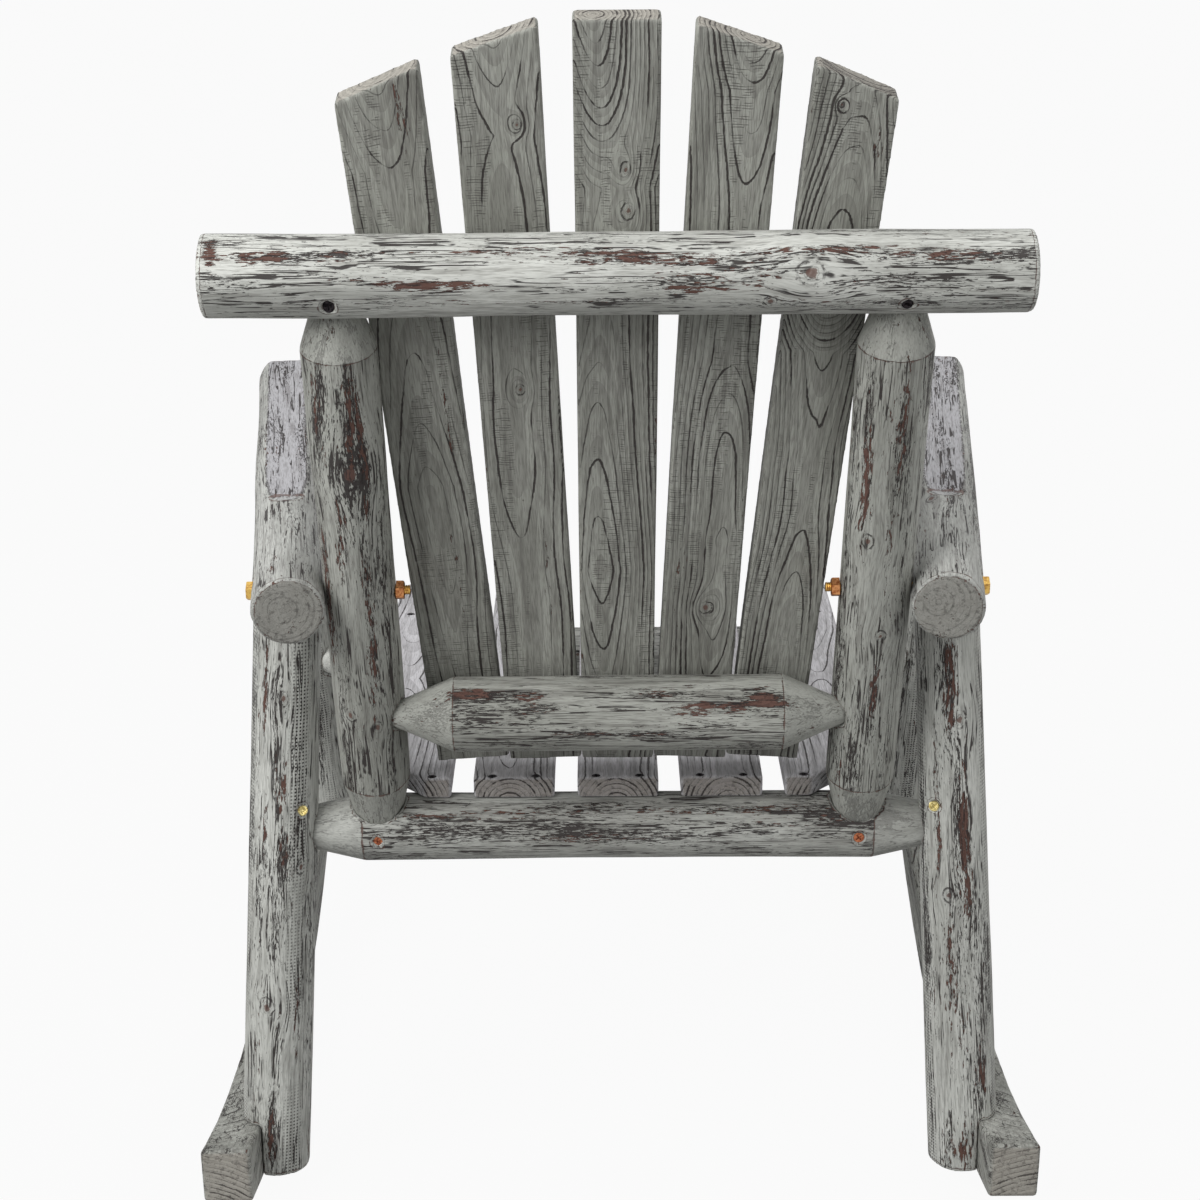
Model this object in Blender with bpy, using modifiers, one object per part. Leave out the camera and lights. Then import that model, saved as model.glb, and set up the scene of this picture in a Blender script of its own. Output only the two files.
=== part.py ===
"""Log rocking chair: round logs, sawn slats, two sawn rockers and the bolts and screws that hold them.

Metres, +Z up. The sitter faces -Y and the chair's left side is +X. The origin lies on the floor, half way
between the two sides and at the middle of the chair's length.
"""

from math import acos, asin, atan2, ceil, cos, hypot, pi, radians, sin, sqrt, tan

import bmesh
import bpy
from mathutils import Matrix, Vector

OBJECT_NAME = "log_rocking_chair"
SIDES = {"left": 1.0, "right": -1.0}

# Clearances
FIT_GAP = 0.0003
BOLT_HOLE_GAP = 0.0003

# Round logs
LOG_SIDES = 32
LOG_EDGE = 0.0016
TIP_NOSE_SHARE = 0.5
TIP_NOSE_NARROWING = 0.80
ARM_RADIUS = 0.0262
POST_RADIUS = 0.0266
TOP_RAIL_RADIUS = 0.0277
LOWER_RAIL_RADIUS = 0.0287
SEAT_RAIL_RADIUS = 0.0268
LEG_TOP_RADIUS = 0.0256
LEG_FOOT_RADIUS = 0.0285

# Seat
SEAT_HEIGHT = 0.355
SEAT_REAR_EDGE = 0.193
SEAT_LENGTH = 0.445
SEAT_SLAT_THICKNESS = 0.018
SEAT_SLAT_WIDTH = 0.0644
SEAT_SIDE_SLAT_WIDTH = 0.0752
SEAT_SLAT_GAP = 0.018
SEAT_INNER_SLATS = 3
SEAT_REAR_RAIL_INSET = 0.006
SEAT_FRONT_RAIL_INSET = 0.087
SEAT_FRONT_CORNER = 0.016
POST_CORNER_CLEARANCE = 0.003
SEAT_RAIL_TAPER = 0.040
SEAT_RAIL_TIP_RADIUS = 0.0165
SEAT_RAIL_TIP_DEPTH = 0.0125

# Back
BACK_LEAN = radians(14.5)
BACK_FOOT_RISE = 0.0158
BACK_FOOT_OFFSET = 0.0030
POST_FOOT_DEPTH = 0.018
POST_FOOT_SHOULDER = 0.038
POST_FOOT_RADIUS = 0.0145
POST_TOP_TAPER = 0.030
POST_TOP_RADIUS = 0.0098
POST_TOP_DEPTH = 0.020
RAIL_SET_BACK = 0.009
TOP_RAIL_RISE = 0.4775
TOP_RAIL_LENGTH = 0.550
LOWER_RAIL_RISE = 0.1058
LOWER_RAIL_TAPER = 0.038
LOWER_RAIL_TIP_RADIUS = 0.0105
LOWER_RAIL_TIP_DEPTH = 0.010
BACK_SLAT_COUNT = 5
BACK_SLAT_WIDTH = 0.0565
BACK_SLAT_THICKNESS = 0.0185
BACK_SLAT_FOOT = 0.0368
BACK_SLAT_TOP = 0.6405
BACK_SLAT_FAN = radians(2.05)
BACK_SLAT_TOP_DROP = (0.0, 0.0135, 0.0425)
BACK_SLAT_TOP_SLANT = (0.0, radians(17.5), radians(19.5))
BACK_SLAT_CORNER = 0.0025

# Arms
ARM_REAR_Y = 0.2845
ARM_REAR_HEIGHT = 0.533
ARM_REAR_SPREAD = 0.238
ARM_LENGTH = 0.552
ARM_SPLAY = radians(7.6)
ARM_RISE = radians(2.5)
ARM_FLAT_DEPTH = 0.0063
ARM_FLAT_START = 0.159
ARM_FLAT_RUNOUT_RADIUS = 0.120
ARM_FLAT_RUNOUT_STEPS = 6
ARM_BOLT_PLACE = 0.040

# Legs
LEG_LEAN = {"rear": radians(-5.6), "front": radians(14.8)}
LEG_RAIL_OFFSET = {"rear": 0.010, "front": -0.014}
LEG_LAP_THICKNESS = 0.0355
LEG_FOOT_CLEARANCE = 0.006
LEG_TOP_SEAT = 0.45
LEG_MEETING_ROUNDS = 12

# Rockers
ROCKER_INNER_X = 0.2935
ROCKER_THICKNESS = 0.0393
ROCKER_DEPTH = 0.0465
ROCKER_RADIUS = 0.700
ROCKER_LOW_Y = 0.085
ROCKER_REAR_Y = 0.3015
ROCKER_FRONT_Y = -0.3411
ROCKER_FACET = radians(5.0)
ROCKER_TAIL_FACETS = 1.5
ROCKER_TAIL_RADIUS = 0.700
ROCKER_EDGE = 0.0020

# Fasteners
SLAT_EDGE = 0.0014
BOLT_RADIUS = 0.0038
HEX_ACROSS_FLATS = 0.0127
BOLT_HEAD_HEIGHT = 0.0053
NUT_HEIGHT = 0.0060
BOLT_STUB = 0.0042
BOLT_TIP_EDGE = 0.0008
BOLT_SIDES = 12
SPOT_FACE_DEPTH = 0.0013
SPOT_FACE_RADIUS = 0.0092
SCREW_SIDES = 8
SCREW_HEAD_RADIUS = 0.0037
SCREW_HEAD_DEPTH = 0.0030
SCREW_HEAD_RIM = 0.0012
SCREW_SHANK_RADIUS = 0.0018
SCREW_RECESS = 0.0016
SLAT_SCREW_LENGTH = 0.036
SLAT_SCREW_EDGE = 0.015
FRAME_SCREW_HEAD_RADIUS = 0.0043
FRAME_SCREW_LENGTH = 0.046
FOOT_SCREW_LENGTH = 0.034
TOP_RAIL_SCREW_ANGLE = radians(43.0)
TOP_RAIL_SCREW_RECESS = 0.0035
TOP_RAIL_SCREW_LENGTH = 0.036
LEG_SCREW_RISE = 0.029
LEG_SCREW_TILT = radians(30.0)
LEG_SCREW_RECESS = 0.0030
ROCKER_SCREW_LENGTH = 0.058
SCREW_HOLE_REACH = 0.010

# Working values that follow from the sizes above
SEAT_UNDERSIDE = SEAT_HEIGHT - SEAT_SLAT_THICKNESS
SEAT_RAIL_HEIGHT = SEAT_UNDERSIDE - SEAT_RAIL_RADIUS - FIT_GAP
SEAT_FRONT_EDGE = SEAT_REAR_EDGE - SEAT_LENGTH
RAIL_Y = {"rear": SEAT_REAR_EDGE - SEAT_REAR_RAIL_INSET, "front": SEAT_FRONT_EDGE + SEAT_FRONT_RAIL_INSET}
BACK_FOOT_Y = RAIL_Y["rear"] + BACK_FOOT_OFFSET
BACK_FOOT_Z = SEAT_RAIL_HEIGHT + BACK_FOOT_RISE
SLAT_REAR_FACE = TOP_RAIL_RADIUS - RAIL_SET_BACK + FIT_GAP
ROCKER_FLAT_HALF = ROCKER_FACET / 2
ROCKER_CENTRE_Z = ROCKER_RADIUS * cos(ROCKER_FLAT_HALF)
ROCKER_TAIL_ANGLE = ROCKER_FACET * ROCKER_TAIL_FACETS
ROCKER_TAIL_Y = ROCKER_LOW_Y + (ROCKER_RADIUS - ROCKER_TAIL_RADIUS) * sin(ROCKER_TAIL_ANGLE)
ROCKER_TAIL_Z = ROCKER_CENTRE_Z - (ROCKER_RADIUS - ROCKER_TAIL_RADIUS) * cos(ROCKER_TAIL_ANGLE)
CUT_REACH = 0.080

# Colours: base colour, roughness, metallic
FINISHES = {
    "log_paint": ((0.36, 0.39, 0.37, 1.0), 0.82, 0.0),
    "back_slat_paint": ((0.23, 0.25, 0.24, 1.0), 0.84, 0.0),
    "seat_slat_paint": ((0.40, 0.39, 0.42, 1.0), 0.80, 0.0),
    "rocker_paint": ((0.33, 0.35, 0.34, 1.0), 0.85, 0.0),
    "yellow_zinc": ((0.55, 0.36, 0.13, 1.0), 0.34, 1.0),
    "copper_zinc": ((0.45, 0.19, 0.08, 1.0), 0.38, 1.0),
    "brass": ((0.52, 0.43, 0.22, 1.0), 0.32, 1.0),
    "dark_steel": ((0.03, 0.03, 0.03, 1.0), 0.55, 1.0),
}


# Places on the chair

def arm_direction(side):
    """Unit vector along an arm, from its rear end to its front end."""
    level = cos(ARM_RISE)
    return Vector((side * sin(ARM_SPLAY) * level, -cos(ARM_SPLAY) * level, sin(ARM_RISE)))


def arm_point(side, along):
    """Point on an arm's axis at a distance from its rear end."""
    rear_end = Vector((side * ARM_REAR_SPREAD, ARM_REAR_Y, ARM_REAR_HEIGHT))
    return rear_end + arm_direction(side) * along


def arm_point_at_y(side, y):
    """Point on an arm's axis over a given place along the chair."""
    direction = arm_direction(side)
    return arm_point(side, (y - ARM_REAR_Y) / direction.y)


def post_spread():
    """Distance of a post's axis from the chair's middle, beside the arm at its bolt."""
    return arm_point(1.0, ARM_BOLT_PLACE).x - ARM_RADIUS - POST_RADIUS - FIT_GAP


def back_matrix():
    """Frame of the leaning back: Z runs up the posts and -Y points to the sitter."""
    return Matrix.Translation((0.0, BACK_FOOT_Y, BACK_FOOT_Z)) @ Matrix.Rotation(-BACK_LEAN, 4, "X")


def post_rise_at_height(z):
    """Distance up a post's axis at which it reaches a height over the floor."""
    return (z - BACK_FOOT_Z) / cos(BACK_LEAN)


def rocker_arc(inset, on_tail):
    """Centre in (Y, Z) and radius of a rocker's main arc or tighter tail, above its lower edge by the inset."""
    if on_tail:
        return ROCKER_TAIL_Y, ROCKER_TAIL_Z, ROCKER_TAIL_RADIUS - inset
    return ROCKER_LOW_Y, ROCKER_CENTRE_Z, ROCKER_RADIUS - inset


def on_rocker_tail(y, inset):
    """Whether a place along the chair lies behind the main arc."""
    return y > ROCKER_LOW_Y + (ROCKER_RADIUS - inset) * sin(ROCKER_TAIL_ANGLE)


def rocker_height(y, inset=0.0):
    """Height of a rocker's curve at a place along the chair, a distance above its lower edge."""
    centre_y, centre_z, radius = rocker_arc(inset, on_rocker_tail(y, inset))
    return centre_z - sqrt(radius ** 2 - (y - centre_y) ** 2)


def rocker_slope(y, inset):
    """Angle of a rocker's curve to the floor at a place along the chair."""
    centre_y, _, radius = rocker_arc(inset, on_rocker_tail(y, inset))
    return asin((y - centre_y) / radius)


def rocker_middle(y):
    """Height of the middle of a rocker's depth."""
    return rocker_height(y, ROCKER_DEPTH / 2)


def leg_meeting(row, height_at):
    """Place and height at which a leg's leaning line, set from its seat rail, meets a curve along the chair."""
    z = SEAT_RAIL_HEIGHT
    for _ in range(LEG_MEETING_ROUNDS):
        y = RAIL_Y[row] + LEG_RAIL_OFFSET[row] + (z - SEAT_RAIL_HEIGHT) * tan(LEG_LEAN[row])
        z = height_at(y)
    return y, z


def leg_foot(side, row):
    """Middle of a leg's lower end, just above the rocker's lower edge."""
    y, z = leg_meeting(row, lambda at: rocker_height(at) + LEG_FOOT_CLEARANCE)
    return Vector((side * (ROCKER_INNER_X - FIT_GAP - LEG_LAP_THICKNESS + LEG_FOOT_RADIUS), y, z))


def leg_top(side, row):
    """Middle of a leg's upper end, under the arm's axis."""
    y, z = leg_meeting(row, lambda at: arm_point_at_y(side, at).z - LEG_TOP_SEAT * ARM_RADIUS)
    return Vector((arm_point_at_y(side, y).x, y, z))


def leg_ends(side, row):
    """Lower and upper end of the axis of a leg of the front or the rear row."""
    return leg_foot(side, row), leg_top(side, row)


def leg_axis_at_height(side, row, z):
    """Point on a leg's axis, and its radius there, at a height over the floor."""
    foot, top = leg_ends(side, row)
    share = (z - foot.z) / (top.z - foot.z)
    radius = LEG_FOOT_RADIUS + (LEG_TOP_RADIUS - LEG_FOOT_RADIUS) * share
    return foot.lerp(top, share), radius


def seat_rail_half_length(row):
    """Half of a seat rail, whose tips are let into the legs' inner sides."""
    axis, radius = leg_axis_at_height(1.0, row, SEAT_RAIL_HEIGHT)
    across = RAIL_Y[row] - axis.y
    return axis.x - sqrt(radius ** 2 - across ** 2) + SEAT_RAIL_TIP_DEPTH


def seat_slat_edges():
    """Inner and outer edge of each seat slat, from the chair's right side to its left."""
    pitch = SEAT_SLAT_WIDTH + SEAT_SLAT_GAP
    middle = (SEAT_INNER_SLATS - 1) / 2
    inner = [((k - middle) * pitch - SEAT_SLAT_WIDTH / 2, (k - middle) * pitch + SEAT_SLAT_WIDTH / 2)
             for k in range(SEAT_INNER_SLATS)]
    start = inner[-1][1] + SEAT_SLAT_GAP
    outer = (start, start + SEAT_SIDE_SLAT_WIDTH)
    return [(-outer[1], -outer[0])] + inner + [outer]


def seat_screw_places(row):
    """X of the seat screws on one rail; a side slat has only its inner screw beside the post."""
    places = []
    for first, last in seat_slat_edges():
        both = [first + SLAT_SCREW_EDGE, last - SLAT_SCREW_EDGE]
        beside_post = row == "rear" and max(abs(first), abs(last)) > post_spread() - POST_RADIUS
        places += [min(both, key=abs)] if beside_post else both
    return places


# Blender helpers

def clear_scene():
    for item in list(bpy.data.objects):
        bpy.data.objects.remove(item, do_unlink=True)


def new_collection(name):
    group = bpy.data.collections.new(name)
    bpy.context.scene.collection.children.link(group)
    return group


def new_empty(name, matrix):
    """Empty that carries the pieces of one frame."""
    empty = bpy.data.objects.new(name, None)
    PARTS.objects.link(empty)
    empty.matrix_world = matrix
    return empty


def centre_chair():
    """Hangs everything on one empty, so that the origin lies on the floor under the middle of the chair."""
    rear = top_rail_axis().y + TOP_RAIL_RADIUS
    chair = new_empty("chair", Matrix.Translation((0.0, -(ROCKER_FRONT_Y + rear) / 2, 0.0)))
    for item in list(PARTS.objects) + list(CUTTERS.objects):
        if item.parent is None and item is not chair:
            item.parent = chair


def finish_material(piece, finish):
    """Gives a piece its own material in one of the chair's finishes."""
    colour, roughness, metallic = FINISHES[finish]
    material = bpy.data.materials.new(f"{piece.name}_{finish}")
    material.use_nodes = True
    shader = material.node_tree.nodes["Principled BSDF"]
    shader.inputs["Base Color"].default_value = colour
    shader.inputs["Roughness"].default_value = roughness
    shader.inputs["Metallic"].default_value = metallic
    piece.data.materials.clear()
    piece.data.materials.append(material)


def object_from(name, mesh, group):
    piece = bpy.data.objects.new(name, mesh)
    group.objects.link(piece)
    return piece


def as_cutter(piece):
    """Hides a cutter from the render and shows it as wire."""
    piece.hide_render = True
    piece.display_type = "WIRE"
    return piece


def smooth(mesh):
    mesh.shade_smooth()
    mesh.set_sharp_from_angle(angle=radians(35.0))


def turned_mesh(name, profile, sides):
    """Mesh of a profile of (radius, height) points, top to bottom, turned round Z with a Screw modifier."""
    points = [(radius, 0.0, height) for radius, height in profile]
    mesh = bpy.data.meshes.new(name)
    mesh.from_pydata(points, [(k, k + 1) for k in range(len(points) - 1)], [])
    lathe = object_from(f"{name}_profile", mesh, CUTTERS)
    screw = lathe.modifiers.new("turn", "SCREW")
    screw.axis = "Z"
    screw.angle = 2 * pi
    screw.steps = sides
    screw.render_steps = sides
    screw.use_merge_vertices = True
    screw.merge_threshold = 0.0001
    solid = bpy.data.meshes.new_from_object(lathe.evaluated_get(bpy.context.evaluated_depsgraph_get()))
    solid.name = name
    bpy.data.objects.remove(lathe, do_unlink=True)
    smooth(solid)
    return solid


def outline_mesh(name, outline, thickness):
    """Mesh of a flat outline in XY, extruded to both sides of it."""
    curve = bpy.data.curves.new(name, "CURVE")
    curve.dimensions = "2D"
    curve.fill_mode = "BOTH"
    curve.extrude = thickness / 2
    spline = curve.splines.new("POLY")
    spline.points.add(len(outline) - 1)
    for point, (x, y) in zip(spline.points, outline):
        point.co = (x, y, 0.0, 1.0)
    spline.use_cyclic_u = True
    holder = object_from(f"{name}_outline", curve, CUTTERS)
    mesh = bpy.data.meshes.new_from_object(holder.evaluated_get(bpy.context.evaluated_depsgraph_get()))
    mesh.name = name
    bpy.data.objects.remove(holder, do_unlink=True)
    solid = bmesh.new()
    solid.from_mesh(mesh)
    bmesh.ops.remove_doubles(solid, verts=solid.verts, dist=0.00001)
    bmesh.ops.recalc_face_normals(solid, faces=solid.faces)
    solid.to_mesh(mesh)
    solid.free()
    return mesh


def rounded_outline(corners, radii, step=radians(22.5)):
    """Closed outline whose corners are rounded by arcs; a radius of zero keeps the corner."""
    outline = []
    for k, corner in enumerate(corners):
        here = Vector(corner)
        before = (Vector(corners[k - 1]) - here).normalized()
        after = (Vector(corners[(k + 1) % len(corners)]) - here).normalized()
        if radii[k] <= 0.0:
            outline.append(tuple(here))
            continue
        half = acos(max(-1.0, min(1.0, before.dot(after)))) / 2
        centre = here + (before + after).normalized() * (radii[k] / sin(half))
        first = here + before * (radii[k] / tan(half)) - centre
        last = here + after * (radii[k] / tan(half)) - centre
        start = atan2(first.y, first.x)
        turn = (atan2(last.y, last.x) - start + pi) % (2 * pi) - pi
        count = max(1, ceil(abs(turn) / step))
        for n in range(count + 1):
            angle = start + turn * n / count
            outline.append((centre.x + radii[k] * cos(angle), centre.y + radii[k] * sin(angle)))
    return outline


def add_bevel(piece, width):
    bevel = piece.modifiers.new("arris", "BEVEL")
    bevel.width = width
    bevel.segments = 1
    bevel.limit_method = "ANGLE"
    bevel.angle_limit = radians(30.0)


def cut(piece, cutter):
    """Takes a cutter's space out of a piece."""
    boolean = piece.modifiers.new(cutter.name, "BOOLEAN")
    boolean.operation = "DIFFERENCE"
    boolean.solver = "EXACT"
    boolean.object = cutter


def along(start, end):
    """Matrix whose origin is the start and whose Z runs to the end."""
    turn = (end - start).to_track_quat("Z", "Y").to_matrix().to_4x4()
    return Matrix.Translation(start) @ turn


def joined_mesh(name, meshes_and_places):
    """One mesh of separate solids, each a mesh with its matrix."""
    together = bmesh.new()
    for mesh, matrix in meshes_and_places:
        one = mesh.copy()
        one.transform(matrix)
        together.from_mesh(one)
        bpy.data.meshes.remove(one)
    result = bpy.data.meshes.new(name)
    together.to_mesh(result)
    together.free()
    smooth(result)
    return result


# Profiles

def plain_log(length, radius, grow=0.0):
    """Profile of a log with square ends and worn arrises."""
    edge = LOG_EDGE
    return [(0.0, length + grow), (radius - edge + grow, length + grow), (radius + grow, length - edge + grow),
            (radius + grow, edge - grow), (radius - edge + grow, -grow), (0.0, -grow)]


def leg_profile(length, grow=0.0):
    """Profile of a leg, which thickens to its foot."""
    edge = LOG_EDGE
    return [(0.0, length + grow), (LEG_TOP_RADIUS + grow, length + grow),
            (LEG_FOOT_RADIUS + grow, edge - grow), (LEG_FOOT_RADIUS - edge + grow, -grow), (0.0, -grow)]


def tipped_log(length, radius, taper, tip_radius, tip_depth, grow=0.0):
    """Profile of a log shaved to a blunt tip at both ends; the tip's last stretch is let in."""
    nose = tip_depth * TIP_NOSE_SHARE
    nose_radius = tip_radius * TIP_NOSE_NARROWING
    upper = [(0.0, length + grow), (nose_radius + grow, length + grow), (tip_radius + grow, length - nose),
             (radius + grow, length - tip_depth - taper)]
    lower = [(r, length - z) for r, z in reversed(upper)]
    return upper + lower


def post_length():
    """Length of a post, from its foot inside the rear rail to its tip inside the top rail."""
    return POST_FOOT_DEPTH + TOP_RAIL_RISE - TOP_RAIL_RADIUS + POST_TOP_DEPTH


def post_profile(grow=0.0):
    """Profile of a back post, shaved to a cone at both ends."""
    length = post_length()
    top_shoulder = length - POST_TOP_DEPTH - POST_TOP_TAPER
    foot_shoulder = POST_FOOT_DEPTH + POST_FOOT_SHOULDER
    return [(0.0, length + grow), (POST_TOP_RADIUS + grow, length + grow),
            (POST_RADIUS + grow, top_shoulder), (POST_RADIUS + grow, foot_shoulder),
            (POST_FOOT_RADIUS + grow, -grow), (0.0, -grow)]


def screw_profile(length, head_radius, grow=0.0, recess=0.0):
    """Profile of a wood screw whose head's top is at Z = 0 and whose shank runs to -Z."""
    top = recess + grow if recess else grow
    shank = SCREW_SHANK_RADIUS + grow
    return [(0.0, top), (head_radius + grow, top), (head_radius + grow, -SCREW_HEAD_RIM - grow),
            (shank, -SCREW_HEAD_DEPTH - grow), (shank, -length - grow), (0.0, -length - grow)]


# Screw groups: each place is the middle of a head's top and the direction in which the screw runs

def seat_screw_group(row):
    """Screws down through the slats into one seat rail, counted from the chair's right."""
    down = Vector((0.0, 0.0, -1.0))
    return {f"{k + 1}": (Vector((x, RAIL_Y[row], SEAT_HEIGHT - SCREW_RECESS)), down)
            for k, x in enumerate(sorted(seat_screw_places(row)))}


def back_slat_axis(index):
    """Turn of a back slat in the back's plane and the x of its foot."""
    place = index - (BACK_SLAT_COUNT - 1) / 2
    return place * BACK_SLAT_FAN, place * (BACK_SLAT_WIDTH + 2 * FIT_GAP) / cos(place * BACK_SLAT_FAN)


def back_slat_matrix(index):
    """Frame of one slat: Z runs up it from its foot and its rear face lies at Y = 0."""
    turn, foot_x = back_slat_axis(index)
    foot = Matrix.Translation((foot_x, -SLAT_REAR_FACE, BACK_SLAT_FOOT))
    return back_matrix() @ foot @ Matrix.Rotation(turn, 4, "Y")


def top_rail_axis():
    """Middle of the top rail's axis, set back from the posts' plane."""
    return back_matrix() @ Vector((0.0, RAIL_SET_BACK, TOP_RAIL_RISE))


def top_rail_screw_group():
    """Level screws driven through the lower rear of the top rail into the posts' tips."""
    inward = Vector((0.0, -1.0, 0.0))
    axis = top_rail_axis()
    depth = TOP_RAIL_RADIUS - TOP_RAIL_SCREW_RECESS
    y = axis.y + depth * cos(TOP_RAIL_SCREW_ANGLE)
    z = axis.z - depth * sin(TOP_RAIL_SCREW_ANGLE)
    return {name: (Vector((side * post_spread(), y, z)), inward) for name, side in SIDES.items()}


def foot_screw_group():
    """Screws driven through the rear seat rail into the posts' feet."""
    inward = Vector((0.0, -1.0, 0.0))
    y = RAIL_Y["rear"] + SEAT_RAIL_RADIUS - SCREW_RECESS
    return {name: (Vector((side * post_spread(), y, SEAT_RAIL_HEIGHT)), inward) for name, side in SIDES.items()}


def leg_screw_group(row):
    """Screws driven through the legs into the tips of the seat rails."""
    facing = 1.0 if row == "rear" else -1.0
    rise = LEG_SCREW_RISE if row == "rear" else 0.0
    tilt = LEG_SCREW_TILT if row == "rear" else 0.0
    inward = Vector((0.0, -facing * cos(tilt), -sin(tilt)))
    tip_x = seat_rail_half_length(row) - SEAT_RAIL_TIP_DEPTH / 2
    axis, radius = leg_axis_at_height(1.0, row, SEAT_RAIL_HEIGHT + rise)
    surface_y = axis.y + facing * sqrt(radius ** 2 - (axis.x - tip_x) ** 2)
    place = Vector((tip_x, surface_y, SEAT_RAIL_HEIGHT + rise)) + inward * LEG_SCREW_RECESS
    return {name: (Vector((side * place.x, place.y, place.z)), inward) for name, side in SIDES.items()}


def rocker_screw_group(side):
    """A screw from a rocker's outer face into the lap of each leg."""
    outer = ROCKER_INNER_X + ROCKER_THICKNESS - SCREW_RECESS
    group = {}
    for row in ("rear", "front"):
        y = leg_axis_at_height(side, row, rocker_middle(leg_ends(side, row)[0].y))[0].y
        group[row] = (Vector((side * outer, y, rocker_middle(y))), Vector((-side, 0.0, 0.0)))
    return group


def screw_matrix(head, inward):
    """Frame of a screw: head's top at the place, +Z out of the wood, flats turned off the logs' own edges."""
    return along(head, head - inward) @ Matrix.Rotation(pi / (2 * SCREW_SIDES), 4, "Z")


def add_screws(name, group, length, head_radius, finish, recess):
    """Screws of one group, each its own object, and one cutter for their holes."""
    solid = turned_mesh(name, screw_profile(length, head_radius), SCREW_SIDES)
    hole = turned_mesh(f"{name}_hole", screw_profile(length, head_radius, FIT_GAP, recess), SCREW_SIDES)
    for label, (head, inward) in group.items():
        screw = object_from(f"{name}_{label}", solid, PARTS)
        screw.matrix_world = screw_matrix(head, inward)
        finish_material(screw, finish)
    holes = joined_mesh(f"{name}_holes", [(hole, screw_matrix(head, inward)) for head, inward in group.values()])
    bpy.data.meshes.remove(hole)
    return as_cutter(object_from(f"{name}_holes", holes, CUTTERS))


# Sub-parts

def add_log(name, profile, matrix, finish="log_paint", parent=None, sides=LOG_SIDES):
    """Turned log placed by its matrix, in its parent's frame when it has one."""
    log = object_from(name, turned_mesh(name, profile, sides), PARTS)
    if parent:
        log.parent = parent
        log.matrix_basis = matrix
    else:
        log.matrix_world = matrix
    finish_material(log, finish)
    return log


def add_log_cutter(name, profile, matrix, sides=LOG_SIDES):
    """Space of a log with its clearance, cut out of what the log is let into."""
    cutter = object_from(name, turned_mesh(name, profile, sides), CUTTERS)
    cutter.matrix_world = matrix
    return as_cutter(cutter)


def across_matrix(half_length, y, z):
    """Frame of a log that lies across the chair, from its right end to its left."""
    return along(Vector((-half_length, y, z)), Vector((half_length, y, z)))


def build_seat_rail(row):
    """Seat rail with both tips let into the legs, and the cutter for its sockets."""
    half = seat_rail_half_length(row)
    place = across_matrix(half, RAIL_Y[row], SEAT_RAIL_HEIGHT)
    shape = (2 * half, SEAT_RAIL_RADIUS, SEAT_RAIL_TAPER, SEAT_RAIL_TIP_RADIUS, SEAT_RAIL_TIP_DEPTH)
    rail = add_log(f"seat_{row}_rail", tipped_log(*shape), place)
    socket = add_log_cutter(f"seat_{row}_rail_socket", tipped_log(*shape, grow=FIT_GAP), place)
    return rail, socket


def build_leg(name, side, row):
    """Leg from the rocker to the underside of the arm."""
    foot, top = leg_ends(side, row)
    return add_log(name, leg_profile((top - foot).length), along(foot, top))


def build_arm(name, side):
    """Arm log with its planed top, and the cutter for the saddles of the legs."""
    place = along(arm_point(side, 0.0), arm_point(side, ARM_LENGTH))
    arm = add_log(name, plain_log(ARM_LENGTH, ARM_RADIUS), place)
    saddle = add_log_cutter(f"{name}_saddle", plain_log(ARM_LENGTH, ARM_RADIUS, FIT_GAP), place)
    cut(arm, arm_plane_cutter(name, side))
    return arm, saddle


def arm_plane_cutter(name, side):
    """Space over an arm's planed top, which runs out in an arc toward the rear."""
    floor = ARM_RADIUS - ARM_FLAT_DEPTH
    radius = ARM_FLAT_RUNOUT_RADIUS
    steps = ARM_FLAT_RUNOUT_STEPS
    sweep = acos(1.0 - (ARM_FLAT_DEPTH + FIT_GAP) / radius)
    outline = [(ARM_FLAT_START + radius * sin(sweep) - radius * sin(sweep * k / steps),
                floor + radius * (1.0 - cos(sweep * k / steps))) for k in range(steps + 1)]
    outline += [(outline[-1][0], ARM_RADIUS * 2), (ARM_LENGTH + ARM_RADIUS, ARM_RADIUS * 2),
                (ARM_LENGTH + ARM_RADIUS, floor)]
    cutter = object_from(f"{name}_plane", outline_mesh(f"{name}_plane", outline, 4 * ARM_RADIUS), CUTTERS)
    forward = arm_direction(side)
    across = forward.cross(Vector((0.0, 0.0, 1.0))).normalized()
    upward = across.cross(forward)
    frame = Matrix((forward, upward, across)).transposed().to_4x4()
    cutter.matrix_world = Matrix.Translation(arm_point(side, 0.0)) @ frame
    return as_cutter(cutter)


def rocker_curve(inset):
    """Points in (Y, Z) from a rocker's front end to its rear end, a distance above its lower edge."""
    first = rocker_slope(ROCKER_FRONT_Y, inset)
    last = rocker_slope(ROCKER_REAR_Y, inset)
    count = ceil((last - first) / ROCKER_FACET)
    corners = [ROCKER_FLAT_HALF + ROCKER_FACET * k for k in range(-count, count)]
    angles = [first] + [angle for angle in corners if first < angle < last] + [last]
    points = []
    for angle in angles:
        centre_y, centre_z, radius = rocker_arc(inset, angle > ROCKER_TAIL_ANGLE)
        points.append((centre_y + radius * sin(angle), centre_z - radius * cos(angle)))
    return points


def rocker_outline(top_grow=0.0, floor=None):
    """Side outline of a rocker in (Y, Z): two curves of short flats, with the ends cut upright."""
    upper = rocker_curve(ROCKER_DEPTH + top_grow)
    if floor is None:
        lower = rocker_curve(0.0)
    else:
        lower = [(ROCKER_FRONT_Y, floor), (ROCKER_REAR_Y, floor)]
    return lower + upper[::-1]


def side_matrix(x):
    """Frame whose XY plane is the chair's side view, at a distance from its middle."""
    return Matrix.Translation((x, 0.0, 0.0)) @ Matrix(((0, 0, 1, 0), (1, 0, 0, 0), (0, 1, 0, 0), (0, 0, 0, 1)))


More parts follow.
